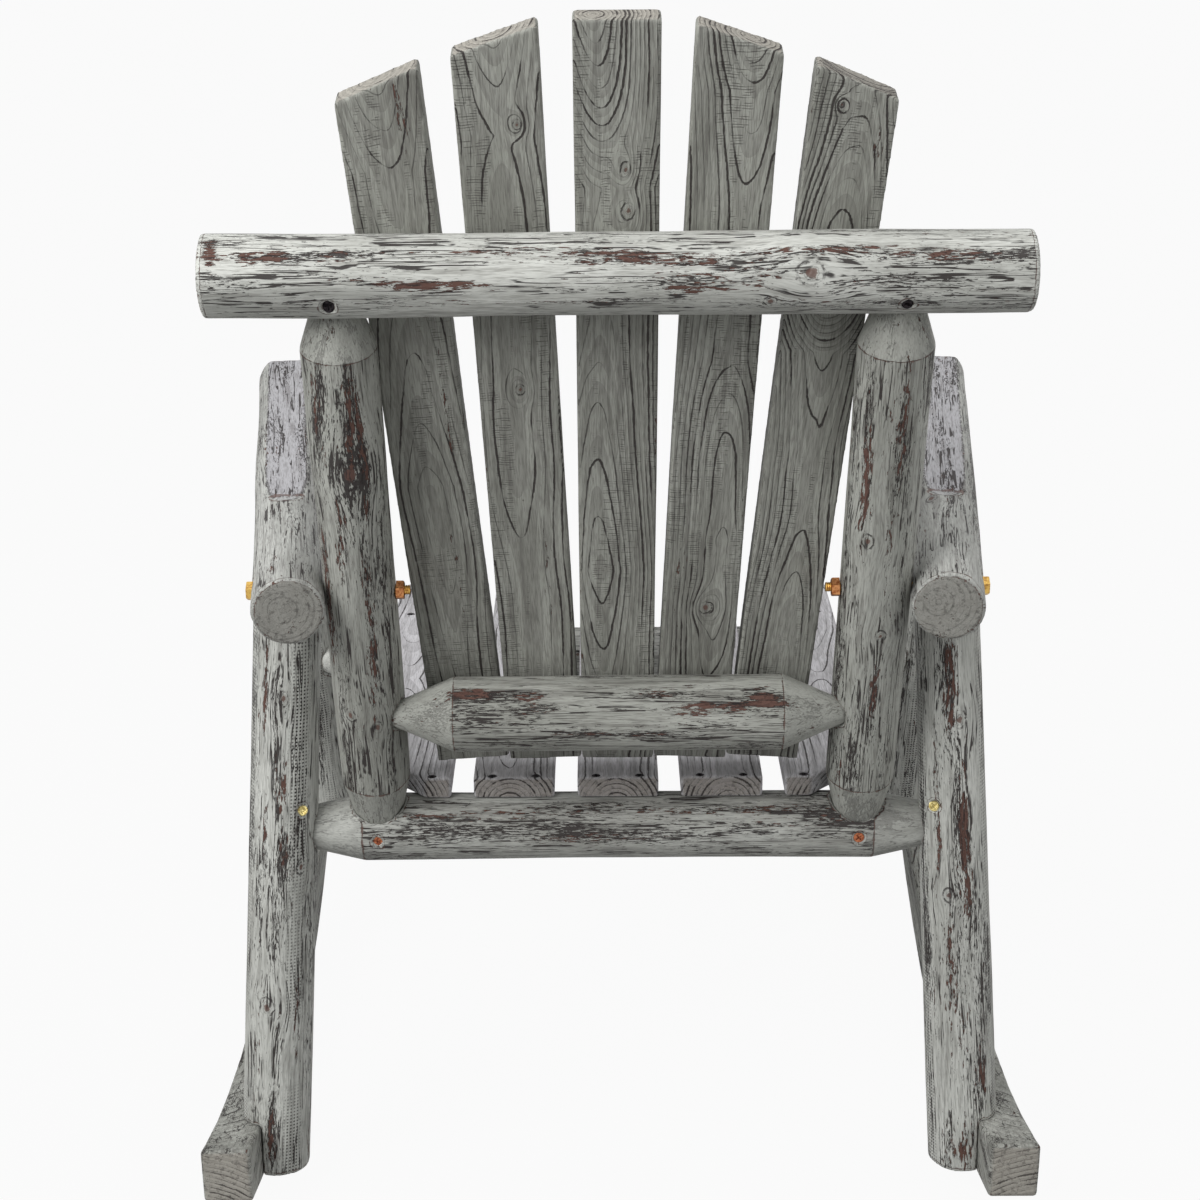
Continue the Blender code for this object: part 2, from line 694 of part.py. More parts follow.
def build_rocker(name, side):
    """Sawn rocker on the outer side of the legs, and the cutter for the legs' laps."""
    rocker = object_from(name, outline_mesh(name, rocker_outline(), ROCKER_THICKNESS), PARTS)
    rocker.matrix_world = side_matrix(side * (ROCKER_INNER_X + ROCKER_THICKNESS / 2))
    add_bevel(rocker, ROCKER_EDGE)
    finish_material(rocker, "rocker_paint")
    outline = rocker_outline(FIT_GAP, -CUT_REACH)
    lap = object_from(f"{name}_lap", outline_mesh(f"{name}_lap", outline, CUT_REACH), CUTTERS)
    lap.matrix_world = side_matrix(side * (ROCKER_INNER_X - FIT_GAP + CUT_REACH / 2))
    return rocker, as_cutter(lap)


def build_seat_slat(name, first, last):
    """Seat slat; a side slat has its rear corner cut beside the post and its front corner clipped."""
    front = [(first, SEAT_FRONT_EDGE), (last, SEAT_FRONT_EDGE)]
    corners = front + [(last, SEAT_REAR_EDGE), (first, SEAT_REAR_EDGE)]
    outer = max(abs(first), abs(last))
    if outer > post_spread() - POST_RADIUS:
        inner = min(abs(first), abs(last))
        side = 1.0 if last > 0.0 else -1.0
        post_y = (back_matrix() @ Vector((0.0, 0.0, post_rise_at_height(SEAT_HEIGHT)))).y
        reach = (POST_RADIUS + POST_CORNER_CLEARANCE) * sqrt(2.0)
        notch = post_spread() + post_y - reach - SEAT_REAR_EDGE
        clip = SEAT_FRONT_CORNER
        corners = [(side * inner, SEAT_FRONT_EDGE), (side * (outer - clip), SEAT_FRONT_EDGE),
                   (side * outer, SEAT_FRONT_EDGE + clip), (side * outer, SEAT_REAR_EDGE - (outer - notch)),
                   (side * notch, SEAT_REAR_EDGE), (side * inner, SEAT_REAR_EDGE)]
        corners = corners if side > 0 else corners[::-1]
    slat = object_from(name, outline_mesh(name, corners, SEAT_SLAT_THICKNESS), PARTS)
    slat.location = (0.0, 0.0, SEAT_HEIGHT - SEAT_SLAT_THICKNESS / 2)
    add_bevel(slat, SLAT_EDGE)
    finish_material(slat, "seat_slat_paint")
    return slat


def back_slat_outline(index):
    """Outline of one back slat, foot at the origin; the tops form an arch."""
    place = index - (BACK_SLAT_COUNT - 1) / 2
    step = int(abs(place))
    half = BACK_SLAT_WIDTH / 2
    turn = abs(back_slat_axis(index)[0])
    length = (BACK_SLAT_TOP - BACK_SLAT_TOP_DROP[step] - BACK_SLAT_FOOT) / cos(turn)
    fall = half * tan(BACK_SLAT_TOP_SLANT[step])
    lean = 1.0 if place > 0 else -1.0
    heights = (length + lean * fall, length - lean * fall)
    corners = [(-half, 0.0), (half, 0.0), (half, heights[1]), (-half, heights[0])]
    return rounded_outline(corners, [0.0, 0.0, BACK_SLAT_CORNER, BACK_SLAT_CORNER])


def build_back_slat(name, index):
    """Back slat on the front of both back rails."""
    slat = object_from(name, outline_mesh(name, back_slat_outline(index), BACK_SLAT_THICKNESS), PARTS)
    upright = Matrix.Translation((0.0, -BACK_SLAT_THICKNESS / 2, 0.0)) @ Matrix.Rotation(pi / 2, 4, "X")
    slat.matrix_world = back_slat_matrix(index) @ upright
    add_bevel(slat, SLAT_EDGE)
    finish_material(slat, "back_slat_paint")
    return slat


def hex_prism(name, height):
    """Upright hexagonal prism from Z = 0."""
    shape = bmesh.new()
    corner = HEX_ACROSS_FLATS / (2 * cos(pi / 6))
    bmesh.ops.create_cone(shape, cap_ends=True, segments=6, radius1=corner, radius2=corner, depth=height,
                          matrix=Matrix.Translation((0.0, 0.0, height / 2)) @ Matrix.Rotation(pi / 6, 4, "Z"))
    mesh = bpy.data.meshes.new(name)
    shape.to_mesh(mesh)
    shape.free()
    return mesh


def bolt_matrix(side):
    """Frame of an arm bolt: +Z points out of the chair and Z = 0 is the spot face on the arm."""
    middle = arm_point(side, ARM_BOLT_PLACE)
    outer = Vector((side * (abs(middle.x) + ARM_RADIUS - SPOT_FACE_DEPTH), middle.y, middle.z))
    return along(outer, outer + Vector((side, 0.0, 0.0)))


def nut_seat():
    """Distance along the bolt from the spot face to the post's inner side."""
    return arm_point(1.0, ARM_BOLT_PLACE).x + ARM_RADIUS - SPOT_FACE_DEPTH - (post_spread() - POST_RADIUS)


def build_bolt(side_name, side):
    """Bolt through arm and post, its nut, and the cutter for the hole and the spot face."""
    place = bolt_matrix(side)
    reach = nut_seat() + FIT_GAP + NUT_HEIGHT + BOLT_STUB
    edge = BOLT_TIP_EDGE
    profile = [(0.0, FIT_GAP + BOLT_HEAD_HEIGHT / 2), (BOLT_RADIUS, FIT_GAP + BOLT_HEAD_HEIGHT / 2),
               (BOLT_RADIUS, -reach + edge), (BOLT_RADIUS - edge, -reach), (0.0, -reach)]
    name = f"arm_bolt_{side_name}"
    bolt = object_from(name, turned_mesh(name, profile, BOLT_SIDES), PARTS)
    head = object_from(f"{name}_head", hex_prism(f"{name}_head", BOLT_HEAD_HEIGHT), CUTTERS)
    bolt.matrix_world = place
    head.matrix_world = place @ Matrix.Translation((0.0, 0.0, FIT_GAP))
    union = bolt.modifiers.new("head", "BOOLEAN")
    union.operation = "UNION"
    union.solver = "EXACT"
    union.object = as_cutter(head)
    finish_material(bolt, "yellow_zinc")

    nut = object_from(f"arm_nut_{side_name}", hex_prism(f"arm_nut_{side_name}", NUT_HEIGHT), PARTS)
    nut.matrix_world = place @ Matrix.Translation((0.0, 0.0, -nut_seat() - FIT_GAP - NUT_HEIGHT))
    finish_material(nut, "copper_zinc")

    bore = BOLT_RADIUS + BOLT_HOLE_GAP
    over = ARM_RADIUS
    hole_profile = [(0.0, over), (SPOT_FACE_RADIUS, over), (SPOT_FACE_RADIUS, 0.0), (bore, 0.0),
                    (bore, -reach - over), (0.0, -reach - over)]
    hole = add_log_cutter(f"arm_bolt_hole_{side_name}", hole_profile, place, BOLT_SIDES)
    cut(nut, hole)
    return hole


def build_back(side_cutters):
    """Posts, both rails and the slats of the back."""
    frame = new_empty("back_frame", back_matrix())
    spread = post_spread()
    lower_half = spread - POST_RADIUS + LOWER_RAIL_TIP_DEPTH
    top_half = TOP_RAIL_LENGTH / 2
    top_place = across_matrix(top_half, RAIL_SET_BACK, TOP_RAIL_RISE)
    lower_set_back = LOWER_RAIL_RADIUS - TOP_RAIL_RADIUS + RAIL_SET_BACK
    lower_place = across_matrix(lower_half, lower_set_back, LOWER_RAIL_RISE)
    shape = (2 * lower_half, LOWER_RAIL_RADIUS, LOWER_RAIL_TAPER, LOWER_RAIL_TIP_RADIUS, LOWER_RAIL_TIP_DEPTH)

    top = add_log("back_top_rail", plain_log(TOP_RAIL_LENGTH, TOP_RAIL_RADIUS), top_place, parent=frame)
    lower = add_log("back_lower_rail", tipped_log(*shape), lower_place, parent=frame)
    lower_space = back_matrix() @ lower_place
    lower_socket = add_log_cutter("lower_rail_socket", tipped_log(*shape, grow=FIT_GAP), lower_space)

    posts = {}
    post_sockets = []
    for side_name, side in SIDES.items():
        place = Matrix.Translation((side * spread, 0.0, -POST_FOOT_DEPTH))
        post = add_log(f"back_post_{side_name}", post_profile(), place, parent=frame)
        socket = add_log_cutter(f"post_socket_{side_name}", post_profile(FIT_GAP), back_matrix() @ place)
        cut(post, lower_socket)
        cut(post, side_cutters[side_name])
        cut(top, socket)
        posts[side_name] = post
        post_sockets.append(socket)
    slats = [build_back_slat(f"back_slat_{k + 1}", k) for k in range(BACK_SLAT_COUNT)]
    return top, lower, posts, post_sockets, slats


def build_side(side_name, side, rail_sockets, bolt_hole):
    """Arm, rocker and both legs of one side."""
    arm, saddle = build_arm(f"arm_{side_name}", side)
    rocker, lap = build_rocker(f"rocker_{side_name}", side)
    cut(arm, bolt_hole)
    rocker_holes = add_screws(f"rocker_screw_{side_name}", rocker_screw_group(side), ROCKER_SCREW_LENGTH,
                              FRAME_SCREW_HEAD_RADIUS, "dark_steel", SCREW_RECESS * 2)
    cut(rocker, rocker_holes)
    legs = {}
    for row in ("rear", "front"):
        leg = build_leg(f"{row}_leg_{side_name}", side, row)
        cut(leg, saddle)
        cut(leg, lap)
        cut(leg, rail_sockets[row])
        cut(leg, rocker_holes)
        legs[row] = leg
    return legs


def build_chair():
    """Builds every sub-part, then the screws and the holes for them."""
    rear_rail, rear_socket = build_seat_rail("rear")
    front_rail, front_socket = build_seat_rail("front")
    rails = {"rear": rear_rail, "front": front_rail}
    sockets = {"rear": rear_socket, "front": front_socket}
    bolt_holes = {name: build_bolt(name, side) for name, side in SIDES.items()}
    top, lower, posts, post_sockets, back_slats = build_back(bolt_holes)
    legs = {name: build_side(name, side, sockets, bolt_holes[name]) for name, side in SIDES.items()}
    seat_slats = [build_seat_slat(f"seat_slat_{k + 1}", first, last)
                  for k, (first, last) in enumerate(seat_slat_edges())]
    for socket in post_sockets:
        cut(rear_rail, socket)

    for row in ("rear", "front"):
        holes = add_screws(f"seat_{row}_screw", seat_screw_group(row), SLAT_SCREW_LENGTH, SCREW_HEAD_RADIUS,
                           "dark_steel", SCREW_RECESS * 2)
        for piece in seat_slats + [rails[row]]:
            cut(piece, holes)
        finish = "brass" if row == "rear" else "dark_steel"
        leg_holes = add_screws(f"{row}_leg_screw", leg_screw_group(row), FRAME_SCREW_LENGTH,
                               FRAME_SCREW_HEAD_RADIUS, finish, SCREW_HOLE_REACH)
        for piece in [rails[row]] + [sides[row] for sides in legs.values()]:
            cut(piece, leg_holes)

    top_holes = add_screws("top_rail_screw", top_rail_screw_group(), TOP_RAIL_SCREW_LENGTH,
                           FRAME_SCREW_HEAD_RADIUS, "dark_steel", SCREW_HOLE_REACH)
    foot_holes = add_screws("rear_rail_screw", foot_screw_group(), FOOT_SCREW_LENGTH,
                            FRAME_SCREW_HEAD_RADIUS, "copper_zinc", SCREW_RECESS * 2)
    cut(top, top_holes)
    cut(rear_rail, foot_holes)
    for post in posts.values():
        cut(post, top_holes)
        cut(post, foot_holes)


clear_scene()
PARTS = new_collection(OBJECT_NAME)
CUTTERS = new_collection(f"{OBJECT_NAME}_cutters")
build_chair()
centre_chair()
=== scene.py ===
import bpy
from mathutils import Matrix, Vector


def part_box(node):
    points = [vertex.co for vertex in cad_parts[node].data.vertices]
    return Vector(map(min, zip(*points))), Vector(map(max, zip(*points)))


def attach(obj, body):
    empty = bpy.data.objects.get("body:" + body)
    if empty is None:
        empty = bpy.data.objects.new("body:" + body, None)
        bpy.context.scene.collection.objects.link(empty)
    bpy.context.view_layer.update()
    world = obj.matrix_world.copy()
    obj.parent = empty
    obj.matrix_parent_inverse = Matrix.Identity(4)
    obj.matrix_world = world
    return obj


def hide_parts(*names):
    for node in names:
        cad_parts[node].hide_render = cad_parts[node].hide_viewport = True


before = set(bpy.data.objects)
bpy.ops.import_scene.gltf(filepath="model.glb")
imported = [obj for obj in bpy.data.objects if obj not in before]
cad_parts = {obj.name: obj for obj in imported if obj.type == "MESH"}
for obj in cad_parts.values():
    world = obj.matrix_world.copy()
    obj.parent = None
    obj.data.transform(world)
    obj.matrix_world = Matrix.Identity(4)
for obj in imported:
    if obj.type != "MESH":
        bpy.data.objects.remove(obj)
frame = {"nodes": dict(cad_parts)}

"""Looks of a log rocking chair: weathered, paint-worn logs, sawn slats and rockers, and plated hardware."""

import logging
import math
from dataclasses import dataclass
from enum import Enum

import bmesh
import bpy
import numpy as np
from mathutils import Matrix, Vector

log = logging.getLogger("rocking_chair")
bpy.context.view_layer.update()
Colour = tuple[float, float, float]
Point = tuple[float, float, float]
Socket = bpy.types.NodeSocket
Value = Socket | float | Colour


def rgb(red: int, green: int, blue: int) -> Colour:
    """Linear colour of an 8-bit display colour.

    Args:
        red: Red, from 0 to 255.
        green: Green.
        blue: Blue.

    Returns:
        Linear red, green and blue.
    """
    def linear(value: float) -> float:
        """Linear value of one channel."""
        value /= 255.0
        return value / 12.92 if value <= 0.04045 else ((value + 0.055) / 1.055) ** 2.4
    return linear(red), linear(green), linear(blue)


def placed(name: str, data: bpy.types.ID) -> bpy.types.Object:
    """A new object in the scene, at the origin.

    Args:
        name: Its name.
        data: What the object shows.

    Returns:
        The object.
    """
    item = bpy.data.objects.new(name, data)
    bpy.context.scene.collection.objects.link(item)
    return item


def rows_of(mesh: bpy.types.Mesh, what: str = "co") -> np.ndarray:
    """The mesh's vertices, or their normals, as rows."""
    mesh.vertices.foreach_get(what, flat := np.empty(len(mesh.vertices) * 3))
    return flat.reshape(-1, 3)


def axes_of(node: str) -> tuple[np.ndarray, np.ndarray, np.ndarray]:
    """Corners of a frame node, their middle, and its axes, the longest first."""
    points = np.unique(np.round(rows_of(frame["nodes"][node].data), 6), axis=0)
    return points, points.mean(axis=0), np.linalg.svd(points - points.mean(axis=0), full_matrices=False)[2]


def mesh_of(shape: bmesh.types.BMesh, name: str) -> bpy.types.Mesh:
    """The shape as a mesh. The shape itself is freed.

    Args:
        shape: The shape.
        name: The mesh's name.

    Returns:
        The mesh.
    """
    mesh = bpy.data.meshes.new(name)
    shape.to_mesh(mesh)
    shape.free()
    return mesh


def baked(holder: bpy.types.Object, name: str) -> bpy.types.Mesh:
    """An object's mesh with its modifiers applied. The object and its own mesh are removed.

    Args:
        holder: The object.
        name: The mesh's name.

    Returns:
        The mesh.
    """
    mesh = bpy.data.meshes.new_from_object(holder.evaluated_get(bpy.context.evaluated_depsgraph_get()))
    plain = holder.data
    bpy.data.objects.remove(holder, do_unlink=True)
    bpy.data.meshes.remove(plain)
    mesh.name = name
    return mesh


def level(end: Point) -> dict[str, Point]:
    """Both ends of a level rail, from its left one."""
    return {"start": (-end[0], *end[1:]), "end": end}


# Camera


@dataclass(frozen=True)
class Viewpoint:
    """The photograph's camera: where it stands, how it looks and how long its lens is."""

    place: Point = (0.0132, 1.6976, 1.0900)
    pitch: float = math.radians(21.2)
    roll: float = math.radians(-0.4)
    focal: float = 2111.0
    frame: float = 1200.0

    def matrix(self) -> Matrix:
        """Camera frame in the chair's frame: +X to the picture's right, +Y up, -Z ahead.

        Returns:
            The camera's matrix.
        """
        right = Vector((-1.0, 0.0, 0.0))
        up = Vector((0.0, -math.sin(self.pitch), math.cos(self.pitch)))
        back = right.cross(up)
        across = right * math.cos(self.roll) + up * math.sin(self.roll)
        above = up * math.cos(self.roll) - right * math.sin(self.roll)
        turn = Matrix((across, above, back)).transposed().to_4x4()
        return Matrix.Translation(self.place) @ turn

    def ray(self, column: float, row: float) -> tuple[Vector, Vector]:
        """Start and direction of the line of sight through a picture point.

        Args:
            column: Pixels from the picture's left edge.
            row: Pixels from the picture's top edge.

        Returns:
            The camera's place and a unit vector.
        """
        half = self.frame / 2
        local = Vector(((column - half) / self.focal, (half - row) / self.focal, -1.0))
        world = self.matrix()
        return world.translation.copy(), (world.to_3x3() @ local).normalized()

    def make(self) -> bpy.types.Object:
        """The scene's camera.

        Returns:
            The camera.
        """
        data = bpy.data.cameras.new("camera")
        data.sensor_width = 36.0
        data.sensor_fit = "HORIZONTAL"
        data.lens = self.focal * data.sensor_width / self.frame
        data.clip_end = 50.0
        camera = placed("camera", data)
        camera.matrix_world = self.matrix()
        bpy.context.scene.camera = camera
        return camera


VIEW = Viewpoint()


# Noise on vertices


def lattice_noise(points: np.ndarray, seed: int) -> np.ndarray:
    """Smooth noise from -1 to 1 on an array of points.

    Args:
        points: One row of three numbers for each point, in noise cells.
        seed: Picks one pattern.

    Returns:
        One number for each point.
    """
    cell = np.floor(points).astype(np.int64)
    part = points - cell
    ease = part * part * part * (part * (part * 6.0 - 15.0) + 10.0)
    total = np.zeros(len(points))
    for corner in range(8):
        step = np.array([corner & 1, (corner >> 1) & 1, (corner >> 2) & 1])
        key = (cell + step) & 0xFFFFF
        mixed = key[:, 0] * 73856093 ^ key[:, 1] * 19349663 ^ key[:, 2] * 83492791 ^ (seed * 2654435761 & 0xFFFFFFF)
        mixed = (mixed ^ (mixed >> 13)) * 1274126177 & 0xFFFFFFFF
        value = ((mixed ^ (mixed >> 16)) & 0xFFFF) / 32767.5 - 1.0
        weight = np.prod(np.where(step, ease, 1.0 - ease), axis=1)
        total += value * weight
    return total


def layered_noise(points: np.ndarray, seed: int, layers: int = 3) -> np.ndarray:
    """Noise with finer layers of half the strength added.

    Args:
        points: One row of three numbers for each point, in noise cells.
        seed: Picks one pattern.
        layers: How many layers.

    Returns:
        One number for each point.
    """
    total = np.zeros(len(points))
    for layer in range(layers):
        total += lattice_noise(points * 2.0 ** layer, seed + 17 * layer) / 2.0 ** layer
    return total


# Material graphs


class Graph:
    """Builds one material's nodes by short calls, and gathers its surface.

    Attributes:
        grain: Places along the wood's grain.
        colour: The surface's colour so far.
        height: Its height so far.
    """

    grain: Socket
    colour: Value
    height: Value

    def __init__(self, name: str) -> None:
        """Starts a material with a Principled shader.

        Args:
            name: Its name.
        """
        self.material = bpy.data.materials.new(name)
        self.material.use_nodes = True
        self.tree = self.material.node_tree
        self.shader = self.tree.nodes["Principled BSDF"]

    def put(self, socket: Socket, value: Value) -> None:
        """Links or sets an input.

        Args:
            socket: The input.
            value: The value or a link to it.
        """
        if isinstance(value, bpy.types.NodeSocket):
            self.tree.links.new(value, socket)
        elif isinstance(value, tuple) and len(value) == 3 and socket.type == "RGBA":
            socket.default_value = (*value, 1.0)
        else:
            socket.default_value = value

    def add(self, kind: str, **settings: str | bool) -> bpy.types.Node:
        """A node with its settings.

        Args:
            kind: Blender's name of the node.
            settings: Its settings by name.

        Returns:
            The node.
        """
        node = self.tree.nodes.new(kind)
        for key, value in settings.items():
            setattr(node, key, value)
        return node

    def attribute(self, name: str, vector: bool = False) -> Socket:
        """A vertex attribute of the piece."""
        node = self.add("ShaderNodeAttribute", attribute_name=name)
        return node.outputs["Vector" if vector else "Fac"]

    def node(self, kind: str, *values: Value | None, output: int = 0, **settings: str | bool) -> Socket:
        """An output of a new node.

        Args:
            kind: Blender's name of the node.
            values: Its inputs in order, None where one stays as it is.
            output: Number of the output.
            settings: Its settings by name.

        Returns:
            The output.
        """
        node = self.add(kind, **settings)
        for socket, value in zip(node.inputs, values):
            if value is not None:
                self.put(socket, value)
        return node.outputs[output]

    def math(self, operation: str, first: Value, second: Value = 0.0, third: Value = 0.0) -> Socket:
        """A sum on one, two or three values."""
        return self.node("ShaderNodeMath", first, second, third, operation=operation)

    def scaled(self, vector: Value, factors: Point, offset: Point = (0.0, 0.0, 0.0)) -> Socket:
        """A vector times three factors, plus an offset."""
        return self.node("ShaderNodeVectorMath", vector, factors, offset, operation="MULTIPLY_ADD")

    def noise(self, vector: Value, detail: float = 2.0, rough: float = 0.5) -> Socket:
        """Noise from 0 to 1 at one cell per unit."""
        return self.node("ShaderNodeTexNoise", vector, None, 1.0, detail, rough)

    def step(self, value: Value, low: float, high: float, out_low: float = 0.0, out_high: float = 1.0) -> Socket:
        """Smooth step of a value between two limits."""
        return self.node("ShaderNodeMapRange", value, low, high, out_low, out_high, interpolation_type="SMOOTHSTEP")

    def mix(self, share: Value, first: Value, second: Value) -> Socket:
        """Two colours mixed by a share."""
        return self.node("ShaderNodeMix", share, *[None] * 5, first, second, output=2, data_type="RGBA",
                         clamp_factor=True)

    def stain(self, mask: Value, colour: Value, share: float = 1.0, depth: float = 0.0) -> None:
        """Colours the surface through a mask, and sinks it there.

        Args:
            mask: Where, from 0 to 1.
            colour: The new colour.
            share: Its strength.
            depth: How far the surface sinks, in units of the bump.
        """
        self.colour = self.mix(self.product(mask, share), self.colour, colour)
        if depth:
            self.height = self.less(self.height, self.product(mask, depth))

    def product(self, *values: Value) -> Socket:
        """Product of several values.

        Args:
            values: The values.

        Returns:
            The result's socket.
        """
        total = values[0]
        for value in values[1:]:
            total = self.math("MULTIPLY", total, value)
        return total

    def less(self, first: Value, second: Value) -> Socket:
        """The first value less the second."""
        return self.math("SUBTRACT", first, second)

    def size(self, value: Value) -> Socket:
        """A value without its sign."""
        return self.math("ABSOLUTE", value)

    def scaled_sum(self, value: Value, factor: Value, added: Value) -> Socket:
        """A value times a factor, plus another."""
        return self.math("MULTIPLY_ADD", value, factor, added)

    def fibre(self, along: float, across: float, detail: float, rough: float,
              offset: Point = (0.0, 0.0, 0.0)) -> Socket:
        """Noise that is stretched along the grain, with so many cells to the metre."""
        return self.noise(self.scaled(self.grain, (along, across, across), offset), detail, rough)

    def bump(self, height: Value, distance: float, strength: float = 1.0) -> None:
        """Height in units of the distance, on the shader's normal.

        Args:
            height: Height of the surface.
            distance: Height of one unit, in metres.
            strength: Strength of the bump.
        """
        node = self.add("ShaderNodeBump")
        node.inputs["Strength"].default_value = strength
        node.inputs["Distance"].default_value = distance
        self.put(node.inputs["Height"], height)
        self.put(self.shader.inputs["Normal"], node.outputs[0])


class Cut(Enum):
    """How a piece of wood was made, which decides what its faces show."""

    LOG = "peeled log"
    SLAT = "sawn slat"
    ROCKER = "sawn plank"


@dataclass(frozen=True)
class WornPaint:
    """Thin grey paint on rough wood, rubbed through on arrises, cracks and scars.

    Attributes:
        name: Name of the material.
        light: Paint at its palest.
        mid: Paint where it lies thin.
        dark: Dirt and old wood that show through thin paint.
        end_tone: Colour of the cut ends.
        bare: Wood where the paint is gone.
        deep: Colour in cracks and round bare patches.
        wear: Extra share of bare wood.
        cracks: Strength of the dark checks.
        figure: Strength of the growth-ring lines on the faces.
        kerfs: Strength of the saw's cross marks.
        knurls: Strength of the peeling rollers' dents.
        planed: Colour of a planed top.
    """

    name: str
    light: Colour
    mid: Colour
    dark: Colour
    end_tone: Colour = rgb(176, 170, 160)
    bare: Colour = rgb(100, 74, 66)
    deep: Colour = rgb(44, 38, 37)
    wear: float = 0.0
    cracks: float = 0.0
    figure: float = 0.0
    kerfs: float = 0.0
    knurls: float = 0.0
    planed: Colour = rgb(184, 183, 186)

    def paint(self, graph: Graph) -> Socket:
        """Colour of the sound paint, streaked along the grain.

        Args:
            graph: The material's graph.

        Returns:
            The result's socket.
        """
        broad = graph.fibre(6.0, 34.0, 4.0, 0.6)
        streak = graph.fibre(16.0, 260.0, 3.0, 0.6, (0.7, 0.1, 0.3))
        fine = graph.fibre(90.0, 1100.0, 2.0, 0.6)
        base = graph.mix(graph.attribute("planed"), graph.mix(graph.step(broad, 0.36, 0.62), self.mid, self.light),
                         self.planed)
        tone = graph.mix(graph.step(streak, 0.50, 0.34, 0.0, 0.42), base, self.dark)
        return graph.mix(graph.step(fine, 0.56, 0.34, 0.0, 0.44), tone, self.dark)

    def worn(self, graph: Graph) -> tuple:
        """Share of bare wood, and of the dark rim round it.

        Args:
            graph: The material's graph.

        Returns:
            Both shares.
        """
        ragged = graph.fibre(95.0, 520.0, 5.0, 0.72)
        patch = graph.fibre(9.0, 84.0, 4.0, 0.65, (3.1, 7.7, 1.3))
        level = graph.scaled_sum(patch, 0.70, ragged)
        level = graph.scaled_sum(graph.attribute("wear"), 0.20, level)
        edge = 1.045 - self.wear
        return graph.step(level, edge, edge + 0.02), graph.step(level, edge - 0.022, edge - 0.008)

    def crack_lines(self, graph: Graph) -> Socket:
        """Sharp dark checks and dashes along the grain, crowded in some places.

        Args:
            graph: The material's graph.

        Returns:
            The result's socket.
        """
        crowd = graph.fibre(7.0, 62.0, 4.0, 0.66, (9.0, 2.0, 4.0))
        dash = graph.fibre(150.0, 1150.0, 3.0, 0.66)
        level = graph.scaled_sum(crowd, 1.05, dash)
        level = graph.scaled_sum(graph.attribute("wear"), 0.12, level)
        limit = 1.245 - 0.06 * self.cracks
        dashes = graph.step(level, limit, limit + 0.012)
        long = graph.size(graph.less(graph.fibre(8.0, 240.0, 2.0, 0.5, (1.7, 0.3, 5.1)), 0.5))
        gaps = graph.step(graph.fibre(26.0, 90.0, 3.0, 0.65), 0.46, 0.51)
        runs = graph.product(graph.step(long, 0.030, 0.020), gaps, graph.step(crowd, 0.40, 0.46))
        return graph.math("MAXIMUM", dashes, graph.product(runs, min(1.0, self.cracks)))

    def ring_lines(self, graph: Graph) -> tuple:
        """Late-wood lines of the growth rings, of even width but uneven strength, and their soft shade.

        Args:
            graph: The material's graph.

        Returns:
            The lines and the shade.
        """
        ring = graph.attribute("ring")
        saw = graph.less(graph.math("FRACT", ring), 0.5)
        reach = graph.math("DIVIDE", graph.size(saw), graph.math("MAXIMUM", graph.attribute("pace"), 1.0))
        chance = graph.add("ShaderNodeTexWhiteNoise", noise_dimensions="1D")
        graph.put(chance.inputs["W"], graph.math("FLOOR", ring))
        power = graph.step(chance.outputs["Value"], 0.05, 0.90, 0.32, 1.0)
        run = graph.fibre(11.0, 70.0, 4.0, 0.65, (5.0, 1.0, 2.0))
        power = graph.product(power, graph.step(run, 0.38, 0.58, 0.20, 1.3))
        half = graph.scaled_sum(power, 0.00062, 0.00016)
        ragged = graph.fibre(140.0, 900.0, 2.0, 0.6)
        line = graph.step(graph.math("DIVIDE", reach, graph.product(half, graph.step(
            ragged, 0.25, 0.70, 0.55, 1.35))), 1.0, 0.55)
        shade = graph.step(saw, -0.5, 0.5, 0.0, 1.0)
        return graph.product(line, graph.math("MINIMUM", graph.product(power, 1.2), 1.0)), shade

    def material(self) -> bpy.types.Material:
        """The finish as a material that reads the piece's own grain.

        Returns:
            The material.
        """
        graph = Graph(self.name)
        graph.grain = graph.attribute("grain", vector=True)
        end, planed, shaved = (graph.attribute(name) for name in ("end", "planed", "shaved"))
        smooth = graph.step(shaved, 0.10, 0.45)
        whole = graph.less(1.0, graph.product(smooth, 0.62))
        graph.colour = self.paint(graph)
        graph.height = graph.product(graph.fibre(60.0, 700.0, 3.0, 0.6), 0.30)
        graph.stain(smooth, self.light, 0.42)
        graph.stain(end, self.end_tone, 0.72)
        spots = graph.step(graph.fibre(260.0, 260.0, 5.0, 0.72), 0.52, 0.62)
        graph.stain(graph.product(end, spots), self.deep, 0.45)
        late, shade = self.ring_lines(graph)
        graph.stain(shade, self.dark, 0.30 * self.figure)
        lines = graph.math("MAXIMUM", graph.product(late, self.figure), graph.product(late, end, 0.26))
        graph.stain(lines, self.deep, 0.92, 0.75)
        if self.cracks:
            cracks = graph.product(self.crack_lines(graph), whole, graph.less(1.0, graph.product(end, 0.9)))
            graph.stain(cracks, self.deep, 0.95, 0.7)
        if self.kerfs:
            graph.stain(graph.product(self.kerf_marks(graph), self.kerfs), self.deep, 0.55, 0.4)
        if self.knurls:
            graph.stain(graph.product(self.knurl_dents(graph), self.knurls), self.deep, 1.0, 0.8)
        rim = graph.product(planed, graph.less(1.0, planed), 4.0)
        torn = graph.step(graph.fibre(90.0, 300.0, 4.0, 0.7), 0.42, 0.52)
        graph.stain(graph.product(rim, torn), self.deep, 0.75)
        heart = graph.step(graph.fibre(36.0, 420.0, 4.0, 0.7), 0.36, 0.46)
        wood = graph.mix(heart, self.deep, self.bare)
        bare, rim = self.worn(graph)
